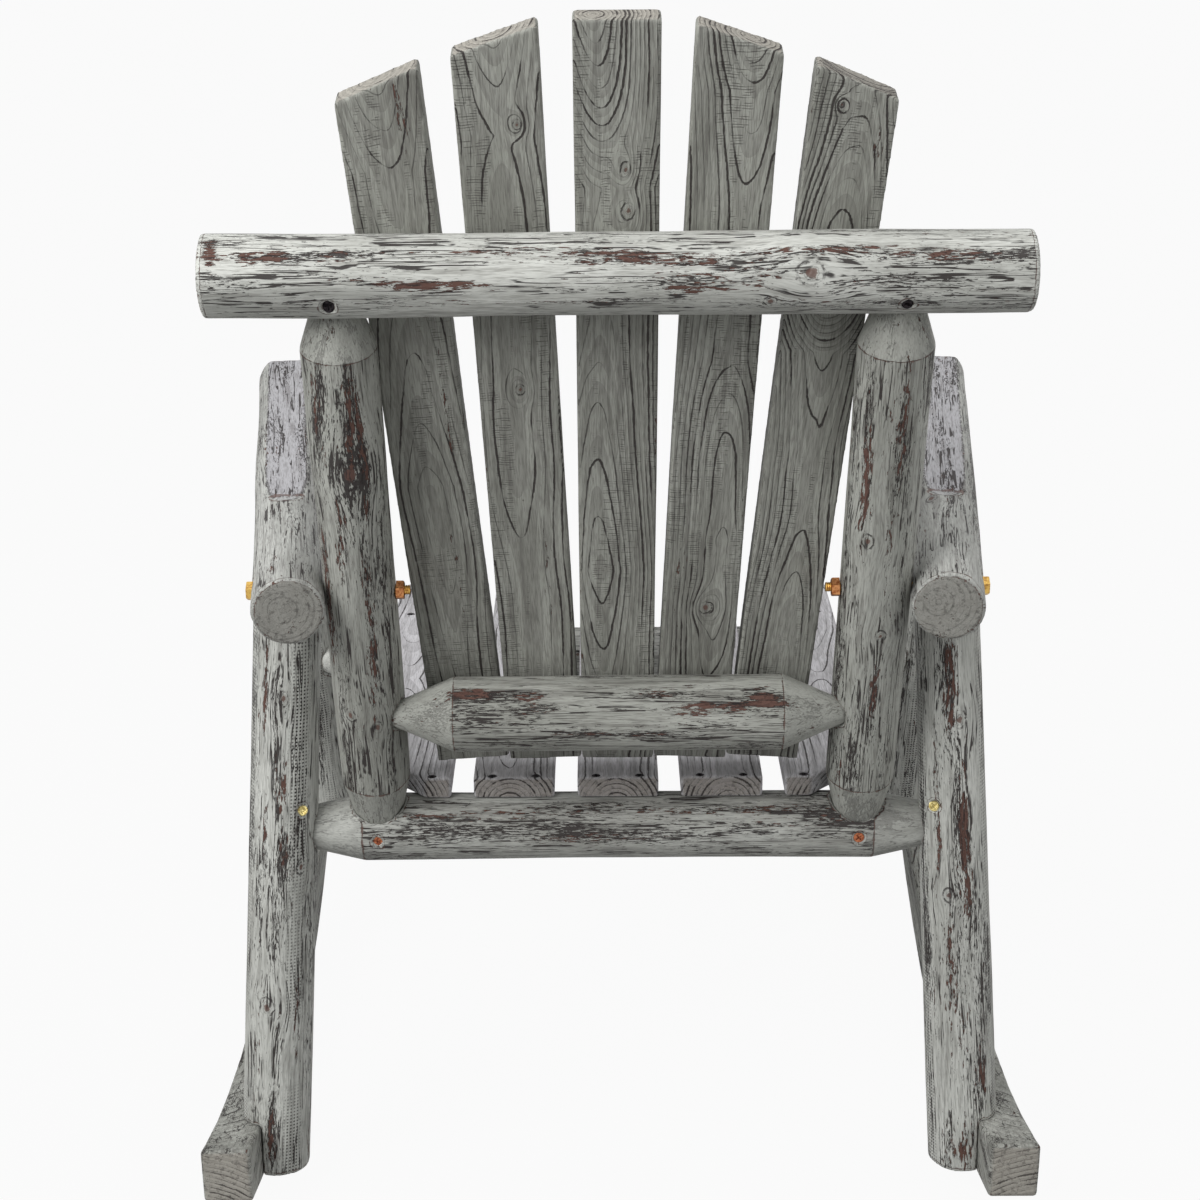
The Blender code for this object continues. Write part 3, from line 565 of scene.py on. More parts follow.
        graph.stain(rim, self.deep, 0.60)
        graph.stain(bare, wood, 1.0, 0.5)
        self.shoulder(graph, shaved, wood)
        self.knots(graph, wood)
        graph.put(graph.shader.inputs["Base Color"], graph.colour)
        graph.put(graph.shader.inputs["Roughness"], graph.step(bare, 0.0, 1.0, 0.68, 0.84))
        graph.shader.inputs["Specular IOR Level"].default_value = 0.28
        graph.bump(graph.height, 0.0012)
        return graph.material

    def shoulder(self, graph: Graph, shaved: Socket, wood: Socket) -> None:
        """Knife line where a shaved cone begins.

        Args:
            graph: The material's graph.
            shaved: How much of a cone is shaved.
            wood: Colour of bare wood.
        """
        ragged = graph.fibre(160.0, 160.0, 3.0, 0.6)
        value = graph.size(graph.less(shaved, 0.22))
        line = graph.step(graph.scaled_sum(graph.less(ragged, 0.5), 0.5, value), 0.11, 0.04)
        graph.stain(line, wood, 0.8, 0.5)

    def knots(self, graph: Graph, wood: Socket) -> None:
        """Knots with a broken rim and a dark heart.

        Args:
            graph: The material's graph.
            wood: Colour of bare wood.
        """
        knot = graph.attribute("knot")
        broken = graph.fibre(110.0, 220.0, 4.0, 0.65, (6.0, 3.0, 8.0))
        level = graph.scaled_sum(graph.less(broken, 0.5), 1.1, knot)
        rim = graph.step(graph.size(graph.less(level, 0.95)), 0.16, 0.05)
        rim = graph.product(rim, graph.step(broken, 0.44, 0.54))
        swirl = graph.step(graph.math("SINE", graph.product(level, 17.0)), 0.55, 0.95)
        inside = graph.step(knot, 1.25, 0.75)
        graph.stain(graph.product(rim, graph.step(knot, 1.7, 1.3)), self.deep, 0.80)
        graph.stain(graph.product(swirl, inside), self.deep, 0.34)
        graph.stain(graph.step(level, 0.40, 0.26), wood, 0.85)
        graph.height = graph.less(graph.height, graph.product(rim, inside, 0.5))

    def kerf_marks(self, graph: Graph) -> Socket:
        """Short cross lines that the saw left, in patches.

        Args:
            graph: The material's graph.

        Returns:
            The result's socket.
        """
        drift = graph.fibre(30.0, 60.0, 1.0, 0.5)
        along = graph.add("ShaderNodeSeparateXYZ")
        graph.put(along.inputs[0], graph.grain)
        wave = graph.math("SINE", graph.scaled_sum(along.outputs[0], 3300.0, graph.product(drift, 12.0)))
        where = graph.fibre(8.0, 50.0, 3.0, 0.6, (2.0, 8.0, 1.0))
        short = graph.fibre(520.0, 90.0, 2.0, 0.6)
        return graph.product(graph.step(wave, 0.45, 0.85), graph.step(where, 0.50, 0.58),
                             graph.step(short, 0.48, 0.56), graph.less(1.0, graph.attribute("end")))

    def knurl_dents(self, graph: Graph) -> Socket:
        """Bands of small lozenge dents that the peeling rollers pressed in.

        Args:
            graph: The material's graph.

        Returns:
            The result's socket.
        """
        along = graph.attribute("along")
        around = graph.attribute("around")
        first = graph.math("SINE", graph.product(graph.math("ADD", along, around), 1060.0))
        second = graph.math("SINE", graph.product(graph.less(along, around), 1060.0))
        dent = graph.step(graph.product(first, second), 0.40, 0.56)
        return graph.product(dent, graph.attribute("band"))


# Wooden pieces

PLANED_START = 0.285  # share of an arm's length that stays round
PLANED_HALF_WIDTH = 0.0172  # metres, as all sizes here
BAND_HALF_WIDTH = 0.0052
TOP_RAIL = (0.275, 0.3159, 0.7858)  # left end of each of the back's rails
LOWER_RAIL = (0.1736, 0.2238, 0.4256)


@dataclass(frozen=True)
class Spot:
    """A knot or a scar, placed by the picture point where it is seen.

    Attributes:
        column: Pixels from the picture's left edge.
        row: Pixels from its top edge.
        length: Its length along the grain, in metres.
        width: Its width across the grain, in metres.
    """

    column: float
    row: float
    length: float = 0.016
    width: float = 0.011


@dataclass
class Timber:
    """One wooden piece, made finer from its frame node and given its grain.

    Attributes:
        node: The frame node that it stands for.
        slot: Name of the finish that goes in the piece's material slot, where finish is left out.
        start: One end of its axis, in metres; found from its shape when left out.
        end: The other end.
        knots: Knots that the photograph shows.
        scars: Places where the paint is rubbed off.
        stray: How many more knots lie at places of their own.
        ring: Width of a growth ring, in metres.
        pith: Distance of the heart from the piece's axis, through and across.
        depths: Places along the piece, from 0 to 1, and the heart's depth under the face there, in metres.
        pitch: Size of the fine mesh's cells, in metres.
        bands: Turns round the axis, in degrees, at which rollers left dents.
        cut: How the wood was made.
        seed: Picks its pattern.
        finish: Finish of the piece, where it isn't named as its slot is.
        sway: Unevenness of the surface, in metres.
        planed: Outward direction of a planed top.
    """

    node: str
    slot: str
    start: Point | None = None
    end: Point | None = None
    knots: tuple[Spot, ...] = ()
    scars: tuple[Spot, ...] = ()
    stray: int = 0
    ring: float = 0.0042
    pith: tuple[float, float] = (0.002, 0.003)
    depths: tuple[tuple[float, float], ...] = ()
    pitch: float = 0.0017
    bands: tuple[float, ...] = ()
    finish: str = ""
    seed: int = 1
    cut: Cut = Cut.LOG
    sway: float = 0.0007
    planed: Point | None = None

    def fine_mesh(self) -> bpy.types.Mesh:
        """A finer copy of the frame node's mesh, in even cells.

        Returns:
            The finer mesh.
        """
        merged = bmesh.new()
        merged.from_mesh(frame["nodes"][self.node].data)
        bmesh.ops.remove_doubles(merged, verts=merged.verts, dist=0.00002)
        mesh = mesh_of(merged, f"{self.node}_wood")
        holder = placed(f"{self.node}_holder", mesh)
        remesh = holder.modifiers.new("cells", "REMESH")
        remesh.mode = "VOXEL"
        remesh.voxel_size = self.pitch
        remesh.use_smooth_shade = True
        soften = holder.modifiers.new("soften", "SMOOTH")
        soften.factor = 0.5
        soften.iterations = 1
        return baked(holder, f"{self.node}_wood")

    def frame_of(self, points: np.ndarray) -> tuple[np.ndarray, np.ndarray]:
        """Origin and three axes of the piece: along, toward the rear or up, and across.

        Args:
            points: The piece's vertices.

        Returns:
            The origin, and the axes as rows.
        """
        if self.start is not None:
            origin = np.array(self.start)
            along = np.array(self.end) - origin
            along /= np.linalg.norm(along)
            outward = np.array([0.0, 1.0, 0.0]) if abs(along[1]) < 0.9 else np.array([0.0, 0.0, 1.0])
            outward = outward - along * (outward @ along)
            outward /= np.linalg.norm(outward)
        else:
            origin = points.mean(axis=0)
            sample = (points - origin)[::7]  # one vertex in seven gives the same axes
            _, _, axes = np.linalg.svd(sample, full_matrices=False)
            along, outward = axes[0], axes[2]
            along = along * np.sign(along[np.argmax(np.abs(along))])
            outward = outward * np.sign(outward[np.argmax(np.abs(outward))])
        return origin, np.array([along, outward, np.cross(along, outward)])

    def place_of(self, spot: Spot, points: np.ndarray) -> np.ndarray:
        """The piece's vertex that is nearest to the camera along a spot's line of sight.

        Args:
            spot: The knot or scar.
            points: The piece's vertices.

        Returns:
            The vertex.
        """
        start, ray = VIEW.ray(spot.column, spot.row)
        offset = points - np.array(start)
        depth = offset @ np.array(ray)
        miss = np.linalg.norm(offset - depth[:, None] * np.array(ray), axis=1)
        return points[np.argmin(np.where(miss < 0.004, depth, depth + 1000.0 * miss))]

    def ring_field(self, local: np.ndarray, centres: list, span: tuple) -> np.ndarray:
        """How many growth rings lie between the heart and each place.

        Args:
            local: Places in the piece's own axes.
            centres: Knots, each with its middle in the same axes.
            span: Lowest and highest place of the piece.

        Returns:
            One count for each place.
        """
        across = local[:, 1:] - np.array(self.pith)
        if self.depths:
            share = (local[:, 0] - span[0][0]) / (span[1][0] - span[0][0])
            stops, depths = zip(*sorted(self.depths))
            across[:, 0] = local[:, 1] + np.interp(share, stops, depths)
        wander = local * (6.0, 1.0, 1.0) + self.seed
        across[:, 0] += layered_noise(wander + 3.0, self.seed + 1, 2) * 0.0035
        across[:, 1] += layered_noise(wander + 6.0, self.seed + 2, 2) * 0.0030
        distance = np.linalg.norm(across, axis=1)
        distance += layered_noise(local * (14.0, 90.0, 90.0) + self.seed * 1.7, self.seed + 5, 2) * 0.0005
        for centre, spot in centres:
            step = local - centre
            reach = (step[:, 0] / (spot.length * 1.1)) ** 2 + ((step[:, 1:] ** 2).sum(axis=1)) / spot.width ** 2
            distance -= np.exp(-reach) * self.ring * 2.4
        return distance / self.ring + 100.0

    def worn_places(self, local: np.ndarray, points: np.ndarray, origin: np.ndarray, axes: np.ndarray) -> np.ndarray:
        """Wear from 0 to 1 round the piece's scars.

        Args:
            local: Places in the piece's own axes.
            points: The piece's vertices.
            origin: Origin of those axes.
            axes: The axes as rows.

        Returns:
            Wear of each vertex.
        """
        wear = np.zeros(len(local))
        for spot in self.scars:
            centre = (self.place_of(spot, points) - origin) @ axes.T
            step = local - centre
            across = np.linalg.norm(step[:, 1:], axis=1)
            reach = (step[:, 0] / (spot.length / 2)) ** 2 + (across / (spot.width / 2)) ** 2
            wear = np.maximum(wear, np.clip(1.35 - 0.75 * np.sqrt(reach), 0.0, 1.0))
        return wear

    def build(self) -> bpy.types.Object:
        """The dressed piece, riding in its node's place.

        Returns:
            The new object.
        """
        mesh = self.fine_mesh()
        count = len(mesh.vertices)
        points, normals = rows_of(mesh), rows_of(mesh, "normal")
        origin, axes = self.frame_of(points)
        local = (points - origin) @ axes.T
        facing = normals @ axes.T
        rng = np.random.default_rng(self.seed)
        span = local.min(axis=0), local.max(axis=0)

        centres = [((self.place_of(spot, points) - origin) @ axes.T, spot) for spot in self.knots]
        for _ in range(self.stray):
            size = rng.uniform(0.6, 1.1)
            centres.append((local[rng.integers(count)], Spot(0.0, 0.0, 0.014 * size, 0.010 * size)))
        knot = np.full(count, 9.0)
        warped = local.copy()
        bulge = np.zeros(count)
        for centre, spot in centres:
            step = local - centre
            across = np.linalg.norm(step[:, 1:], axis=1)
            knot = np.minimum(knot, np.hypot(step[:, 0] / (spot.length / 2), across / (spot.width / 2)))
            flow = np.exp(-(step[:, 0] / (spot.length * 1.5)) ** 2 - (across / (spot.width * 1.4)) ** 2)
            warped[:, 1:] -= step[:, 1:] * (flow * 0.55)[:, None]
            bulge += flow
        ring = self.ring_field(local, centres, span)
        slope = np.stack([(self.ring_field(local + np.eye(3)[k] * 0.0004, centres, span) - ring) / 0.0004
                          for k in range(3)], axis=1)
        slope -= facing * np.einsum("ij,ij->i", slope, facing)[:, None]
        pace = np.linalg.norm(slope, axis=1)

        end = np.clip((np.abs(facing[:, 0]) - 0.80) / 0.12, 0.0, 1.0)
        shaved = np.clip((np.abs(facing[:, 0]) - 0.04) / 0.36, 0.0, 1.0) * (1.0 - end) * (self.cut is Cut.LOG)
        wear = np.maximum(self.worn_places(local, points, origin, axes), self.arrises(mesh, points, normals) * 0.75)
        top = np.zeros(count)
        if self.planed is not None:
            up = np.array(self.planed) / np.linalg.norm(self.planed)
            share = (local[:, 0] - span[0][0]) / (span[1][0] - span[0][0])
            half = PLANED_HALF_WIDTH * np.sqrt(np.clip(1.0 - np.clip((0.46 - share) / 0.17, 0.0, 1.0) ** 2, 0.0, 1.0))
            crown = axes @ up
            beside = local * (0.0, 1.0, 1.0) - np.outer(local @ crown, crown)
            offset = np.linalg.norm(beside, axis=1)
            top = np.clip((normals @ up - 0.93) / 0.02, 0.0, 1.0) * np.clip((half - offset) / 0.003 + 0.5, 0.0, 1.0)
            top *= (1.0 - end) * (share > PLANED_START)
        around = np.arctan2(local[:, 2], local[:, 1])
        radius = np.linalg.norm(local[:, 1:], axis=1)
        band = np.zeros(count)
        for angle in np.radians(self.bands):
            out = axes @ np.array([-math.sin(angle), math.cos(angle), 0.0])
            turn = (around - math.atan2(out[2], out[1]) + math.pi) % (2 * math.pi) - math.pi
            band = np.maximum(band, np.clip(1.8 - np.abs(turn) * radius / BAND_HALF_WIDTH, 0.0, 1.0))
        band *= np.clip(1.15 + layered_noise(local * (9.0, 8.0, 8.0), self.seed + 9, 2) * 1.2, 0.0, 1.0)

        shape = layered_noise(local * (7.0, 26.0, 26.0) + self.seed, self.seed + 11, 3) * self.sway
        if self.cut is Cut.LOG:
            flats = np.stack([local[:, 0] * 4.0, np.cos(around) * 2.2, np.sin(around) * 2.2], axis=1)
            shape += lattice_noise(flats + self.seed, self.seed + 13) * self.sway * 0.8 + bulge * 0.0007
            shape *= np.clip((radius - 0.010) / 0.008, 0.0, 1.0) * (1.0 - top)
        else:
            shape *= 0.35
        shape *= 1.0 - end
        mesh.vertices.foreach_set("co", (points + normals * shape[:, None]).astype(np.float32).ravel())
        for name, values in (("ring", ring), ("pace", pace), ("knot", knot), ("wear", wear), ("end", end),
                             ("along", local[:, 0]), ("around", around * radius), ("band", band),
                             ("shaved", shaved), ("planed", top)):
            mesh.attributes.new(name, "FLOAT", "POINT").data.foreach_set("value", values.astype(np.float32))
        grain = (warped + np.array([self.seed * 1.37, self.seed * 0.71, 0.0])).astype(np.float32)
        mesh.attributes.new("grain", "FLOAT_VECTOR", "POINT").data.foreach_set("vector", grain.ravel())
        mesh.update()
        piece = placed(f"{self.node}_wood", mesh)
        mesh.materials.clear()
        mesh.materials.append(FINISHES[self.finish or self.slot])
        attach(piece, "root")
        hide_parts(self.node)
        log.info("%s: %d faces", piece.name, len(mesh.polygons))
        return piece

    def arrises(self, mesh: bpy.types.Mesh, points: np.ndarray, normals: np.ndarray) -> np.ndarray:
        """How far each vertex stands proud of its neighbours: about 1 on an outer arris.

        Args:
            mesh: The piece's mesh.
            points: The piece's vertices.
            normals: The vertices' normals.

        Returns:
            One number for each vertex.
        """
        edges = np.empty(len(mesh.edges) * 2, dtype=np.int32)
        mesh.edges.foreach_get("vertices", edges)
        pairs = edges.reshape(-1, 2)
        proud = np.zeros(len(points))
        for _ in range(2):
            total = np.zeros_like(points)
            tally = np.zeros(len(points))
            for first, second in ((0, 1), (1, 0)):
                np.add.at(total, pairs[:, first], points[pairs[:, second]])
                np.add.at(tally, pairs[:, first], 1.0)
            mean = total / np.maximum(tally, 1.0)[:, None]
            proud += np.einsum("ij,ij->i", points - mean, normals)
            points = mean
        return np.clip(proud / (self.pitch * 0.42), 0.0, 1.0)


# Hardware


def hex_prism(across: float, height: float, chamfer: float) -> bmesh.types.BMesh:
    """Six-sided prism on Z from 0 with its outer corners chamfered.

    Args:
        across: Width over the flats, in metres.
        height: Its height, in metres.
        chamfer: Width of the chamfer, in metres.

    Returns:
        The prism.
    """
    shape = bmesh.new()
    corner = across / math.sqrt(3.0)
    bmesh.ops.create_cone(shape, cap_ends=True, segments=6, radius1=corner, radius2=corner, depth=height,
                          matrix=Matrix.Translation((0.0, 0.0, height / 2)) @ Matrix.Rotation(math.pi / 6, 4, "Z"))
    top = [edge for edge in shape.edges if all(vert.co.z > height * 0.9 for vert in edge.verts)]
    bmesh.ops.bevel(shape, geom=top, offset=chamfer, segments=2, profile=0.6, affect="EDGES")
    return shape


@dataclass(frozen=True)
class Plate:
    """Plated metal, with fine scratches and dull patches."""

    name: str
    colour: Colour
    tarnish: Colour
    roughness: float = 0.34

    def material(self) -> bpy.types.Material:
        """The finish as a material.

        Returns:
            The material.
        """
        graph = Graph(self.name)
        place = graph.add("ShaderNodeTexCoord").outputs["Object"]
        cloud = graph.noise(graph.scaled(place, (420.0, 420.0, 420.0)), 4.0, 0.65)
        grit = graph.noise(graph.scaled(place, (2600.0, 2600.0, 2600.0)), 2.0, 0.6)
        colour = graph.mix(graph.step(cloud, 0.42, 0.62), self.colour, self.tarnish)
        graph.put(graph.shader.inputs["Base Color"], colour)
        graph.shader.inputs["Metallic"].default_value = 1.0
        graph.put(graph.shader.inputs["Roughness"],
                  graph.step(cloud, 0.3, 0.7, self.roughness, self.roughness + 0.2))
        graph.bump(grit, 0.00012, 0.6)
        return graph.material


@dataclass
class Hardware:
    """Bolts with their nuts, and every screw's head. Sizes are in metres.

    Attributes:
        across_flats: Width of a bolt head and a nut over their flats.
        head_height: Height of a bolt head.
        nut_height: Height of a nut.
        chamfer: Width of the chamfer on their corners.
        thread_radius: Radius of a rod over its crests.
        thread_depth: Depth of its thread.
        thread_pitch: Rise of one turn.
        head_depth: Depth of a screw head's cone.
        slat_shift: Distance of a slat's screws from its middle line.
    """

    across_flats: float = 0.0127
    head_height: float = 0.0053
    nut_height: float = 0.0060
    chamfer: float = 0.0011
    thread_radius: float = 0.0037
    thread_depth: float = 0.0006
    thread_pitch: float = 0.0014
    head_depth: float = 0.0030
    slat_shift: float = 0.016

    def threaded(self, length: float) -> bmesh.types.BMesh:
        """Threaded rod on Z from 0, its crests in one helix.

        Args:
            length: Its length, in metres.

        Returns:
            The rod.
        """
        shape = bmesh.new()
        sides = 24
        rows = int(length / self.thread_pitch * 6) + 1
        rings = []
        for row in range(rows + 1):
            z = length * row / rows
            ring = []
            for side in range(sides):
                angle = 2 * math.pi * side / sides
                phase = (z / self.thread_pitch - side / sides) % 1.0
                radius = self.thread_radius - self.thread_depth * abs(2 * phase - 1.0)
                if row == rows:
                    radius -= self.thread_depth
                ring.append(shape.verts.new((radius * math.cos(angle), radius * math.sin(angle), z)))
            rings.append(ring)
        for lower, upper in zip(rings, rings[1:]):
            for side in range(sides):
                after = (side + 1) % sides
                shape.faces.new((lower[side], lower[after], upper[after], upper[side]))
        shape.faces.new(list(reversed(rings[0])))
        shape.faces.new(rings[-1])
        return shape

    def add(self, node: str, slot: str, *shapes: tuple[bmesh.types.BMesh, Matrix]) -> None:
        """Joins shapes, each with its matrix, and puts them in a node's place.

        Args:
            node: The frame node.
            slot: Name of the finish that goes in the piece's material slot.
            shapes: Shapes and their matrices.
        """
        name = f"{node}_metal"
        together = bmesh.new()
        for shape, place in shapes:
            part = mesh_of(shape, "part")
            part.transform(place)
            together.from_mesh(part)
            bpy.data.meshes.remove(part)
        mesh = mesh_of(together, name)
        mesh.materials.append(FINISHES[slot])
        mesh.shade_smooth()
        mesh.set_sharp_from_angle(angle=math.radians(28.0))
        piece = placed(name, mesh)
        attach(piece, "root")
        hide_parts(node)
        log.info("%s: %d faces", name, len(mesh.polygons))

    def bolts(self) -> None:
        """Hexagon bolts through the arms and posts, with their nuts."""
        for side_name, side in (("left", 1.0), ("right", -1.0)):
            low, high = (np.array(corner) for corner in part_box(f"arm_bolt_{side_name}"))
            middle = (low + high) / 2
            inner, outer = (low[0], high[0]) if side > 0 else (high[0], low[0])
            outward = Matrix.Rotation(side * math.pi / 2, 4, "Y")
            seat = Matrix.Translation((outer - side * self.head_height, middle[1], middle[2])) @ outward
            head = hex_prism(self.across_flats, self.head_height, self.chamfer)
            tip = Matrix.Translation((inner, middle[1], middle[2])) @ outward
            rod = self.threaded(abs(outer - inner) - self.head_height * 0.8)
            self.add(f"arm_bolt_{side_name}", "bolt_zinc", (head, seat), (rod, tip))
            low, high = (np.array(corner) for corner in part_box(f"arm_nut_{side_name}"))
            face = high[0] if side > 0 else low[0]
            back = Matrix.Translation((face, middle[1], middle[2])) @ Matrix.Rotation(-side * math.pi / 2, 4, "Y")
            self.add(f"arm_nut_{side_name}", "nut_zinc",
                     (hex_prism(self.across_flats, self.nut_height, self.chamfer), back))

    def screw_head(self, radius: float, domed: bool) -> bpy.types.Object:
        """Template of a cross-recess screw head, its top at Z = 0.

        Args:
            radius: Its radius, in metres.
            domed: Whether the rim is rounder.

        Returns:
            The template.
        """
        shape = bmesh.new()
        bmesh.ops.create_cone(shape, cap_ends=True, segments=28, radius1=radius * 0.45, radius2=radius,
                              depth=self.head_depth, matrix=Matrix.Translation((0.0, 0.0, -self.head_depth / 2)))
        head = placed("screw_head", mesh_of(shape, "screw_head"))
        for turn in (0.0, math.pi / 2):
            slot = bmesh.new()
            bmesh.ops.create_cube(slot, size=1.0, matrix=Matrix.Rotation(turn, 4, "Z")
                                  @ Matrix.Diagonal((radius * 1.25, radius * 0.24, 0.0022, 1.0)))
            cut = head.modifiers.new("recess", "BOOLEAN")
            cut.operation = "DIFFERENCE"
            cut.solver = "EXACT"
            cut.object = placed("blade", mesh_of(slot, "blade"))
        round_over = head.modifiers.new("rim", "BEVEL")
        round_over.width = 0.00035 if domed else 0.0002
        round_over.segments = 2
        blades = [modifier.object for modifier in head.modifiers if modifier.type == "BOOLEAN"]
        template = placed("screw_template", baked(head, "screw_template"))
        for blade in blades:
            bpy.data.objects.remove(blade, do_unlink=True)
        return template

    def scatter_tree(self, template: bpy.types.Object, material: bpy.types.Material) -> bpy.types.NodeTree:
        """Geometry nodes that put a template on every point, turned as the point says.

        Args:
            template: One head.
            material: The heads' material.

        Returns:
            The node tree.
        """
        tree = bpy.data.node_groups.new("screw_heads", "GeometryNodeTree")
        tree.interface.new_socket("Points", in_out="INPUT", socket_type="NodeSocketGeometry")
        size = tree.interface.new_socket("Size", in_out="INPUT", socket_type="NodeSocketFloat")
        size.default_value = 1.0
        tree.interface.new_socket("Heads", in_out="OUTPUT", socket_type="NodeSocketGeometry")
        nodes = tree.nodes
        source = nodes.new("NodeGroupInput")
        result = nodes.new("NodeGroupOutput")
        info = nodes.new("GeometryNodeObjectInfo")
        info.inputs["Object"].default_value = template
        turn = nodes.new("GeometryNodeInputNamedAttribute")
        turn.data_type = "FLOAT_VECTOR"
        turn.inputs["Name"].default_value = "turn"
        spread = nodes.new("GeometryNodeInstanceOnPoints")
        real = nodes.new("GeometryNodeRealizeInstances")
        dress = nodes.new("GeometryNodeSetMaterial")
        dress.inputs["Material"].default_value = material
        tree.links.new(info.outputs["Geometry"], spread.inputs["Instance"])
        tree.links.new(turn.outputs[0], spread.inputs["Rotation"])
        tree.links.new(source.outputs["Size"], spread.inputs["Scale"])
        chain = (source, spread, real, dress, result)
        for first, second in zip(chain, chain[1:]):
            tree.links.new(first.outputs[0], second.inputs[0])
        return tree

    def heads(self, name: str, places: list, radius: float, slot: str, nodes: tuple[str, ...] = ()) -> None:
        """Heads of one kind of screw at their places.

        Args:
            name: Name of the piece.
            places: Head tops and outward directions.
            radius: Radius of a head, in metres.
            slot: Name of the finish that goes in the piece's material slot.
            nodes: Frame nodes that the heads stand for.
        """
        points = bpy.data.meshes.new(name)
        points.from_pydata([tuple(place) for place, _ in places], [], [])
        turns = []
        for number, (_, outward) in enumerate(places):
            face = Vector(outward).to_track_quat("Z", "Y") @ Matrix.Rotation(0.7 * number, 3, "Z").to_quaternion()
            turns.extend(face.to_euler())
        points.attributes.new("turn", "FLOAT_VECTOR", "POINT").data.foreach_set("vector", turns)
        holder = placed(f"{name}_points", points)
        template = self.screw_head(radius, slot == "brass_screws")
        modifier = holder.modifiers.new("scatter", "NODES")
        modifier.node_group = self.scatter_tree(template, FINISHES[slot])
        for item in modifier.node_group.interface.items_tree:
            if item.name == "Size":
                modifier[item.identifier] = 1.0
        mesh = baked(holder, name)
        bpy.data.objects.remove(template, do_unlink=True)
        mesh.set_sharp_from_angle(angle=math.radians(30.0))
        piece = placed(name, mesh)
        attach(piece, "root")
        if nodes:
            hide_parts(*nodes)
        log.info("%s: %d heads", name, len(places))

    def place_of(self, node: str) -> tuple[Vector, Vector]:
        """Top of a screw's head and its outward direction, from the frame node's own faces.

        Args:
            node: The frame node.

        Returns:
            The place and the direction.
        """
        points, middle, (axis, _, _) = axes_of(node)
        far = (points - middle) @ axis
        spread = np.linalg.norm((points - middle) - far[:, None] * axis, axis=1)
        if far[np.argmax(spread)] < 0:
            axis, far = -axis, -far
        head = points[spread > spread.max() * 0.9]
        centre = head.mean(axis=0)
        centre = centre + axis * (far.max() - (centre - middle) @ axis)
        return Vector(centre), Vector(axis)

    def build(self) -> None:
        """Every bolt, nut and screw head."""
        self.bolts()
        nodes = sorted(frame["nodes"])
        kinds = (("leg_screw_heads", "rear_leg_screw", 0.0043, "brass_screws"),
                 ("rail_screw_heads", "rear_rail_screw", 0.0043, "rail_screws"),
                 ("front_screw_heads", "front_leg_screw", 0.0043, "dark_screws"),
                 ("top_screw_heads", "top_rail_screw", 0.0043, "dark_screws"),
                 ("rocker_screw_heads", "rocker_screw", 0.0043, "dark_screws"),
                 ("seat_screw_heads", "seat_", 0.0037, "dark_screws"))
        for name, prefix, radius, slot in kinds:
            chosen = tuple(node for node in nodes if node.startswith(prefix) and "screw" in node)
            self.heads(name, [self.place_of(node) for node in chosen], radius, slot, chosen)
        self.heads("slat_screw_heads", self.slat_places(), 0.0040, "dark_screws")

    def slat_places(self) -> list:
        """Places and outward directions of the screws that hold the back slats to both back rails.

        Returns:
            Each screw's place and direction.
        """
        places = []
        for index in range(1, 6):
            points, middle, axes = axes_of(f"back_slat_{index}")
            along, front = axes[0] * np.sign(axes[0][2]), axes[2] * -np.sign(axes[2][1])
            across = np.cross(along, front)
            reach = ((points - middle) @ front).max()
            for height in (TOP_RAIL[2], LOWER_RAIL[2]):
                run = (height - middle[2] - reach * front[2]) / along[2]
                for shift in (-self.slat_shift, self.slat_shift):
                    place = middle + along * run + front * (reach + 0.0002) + across * shift
                    places.append((Vector(place), Vector(front)))
        return places


# Sub-assemblies


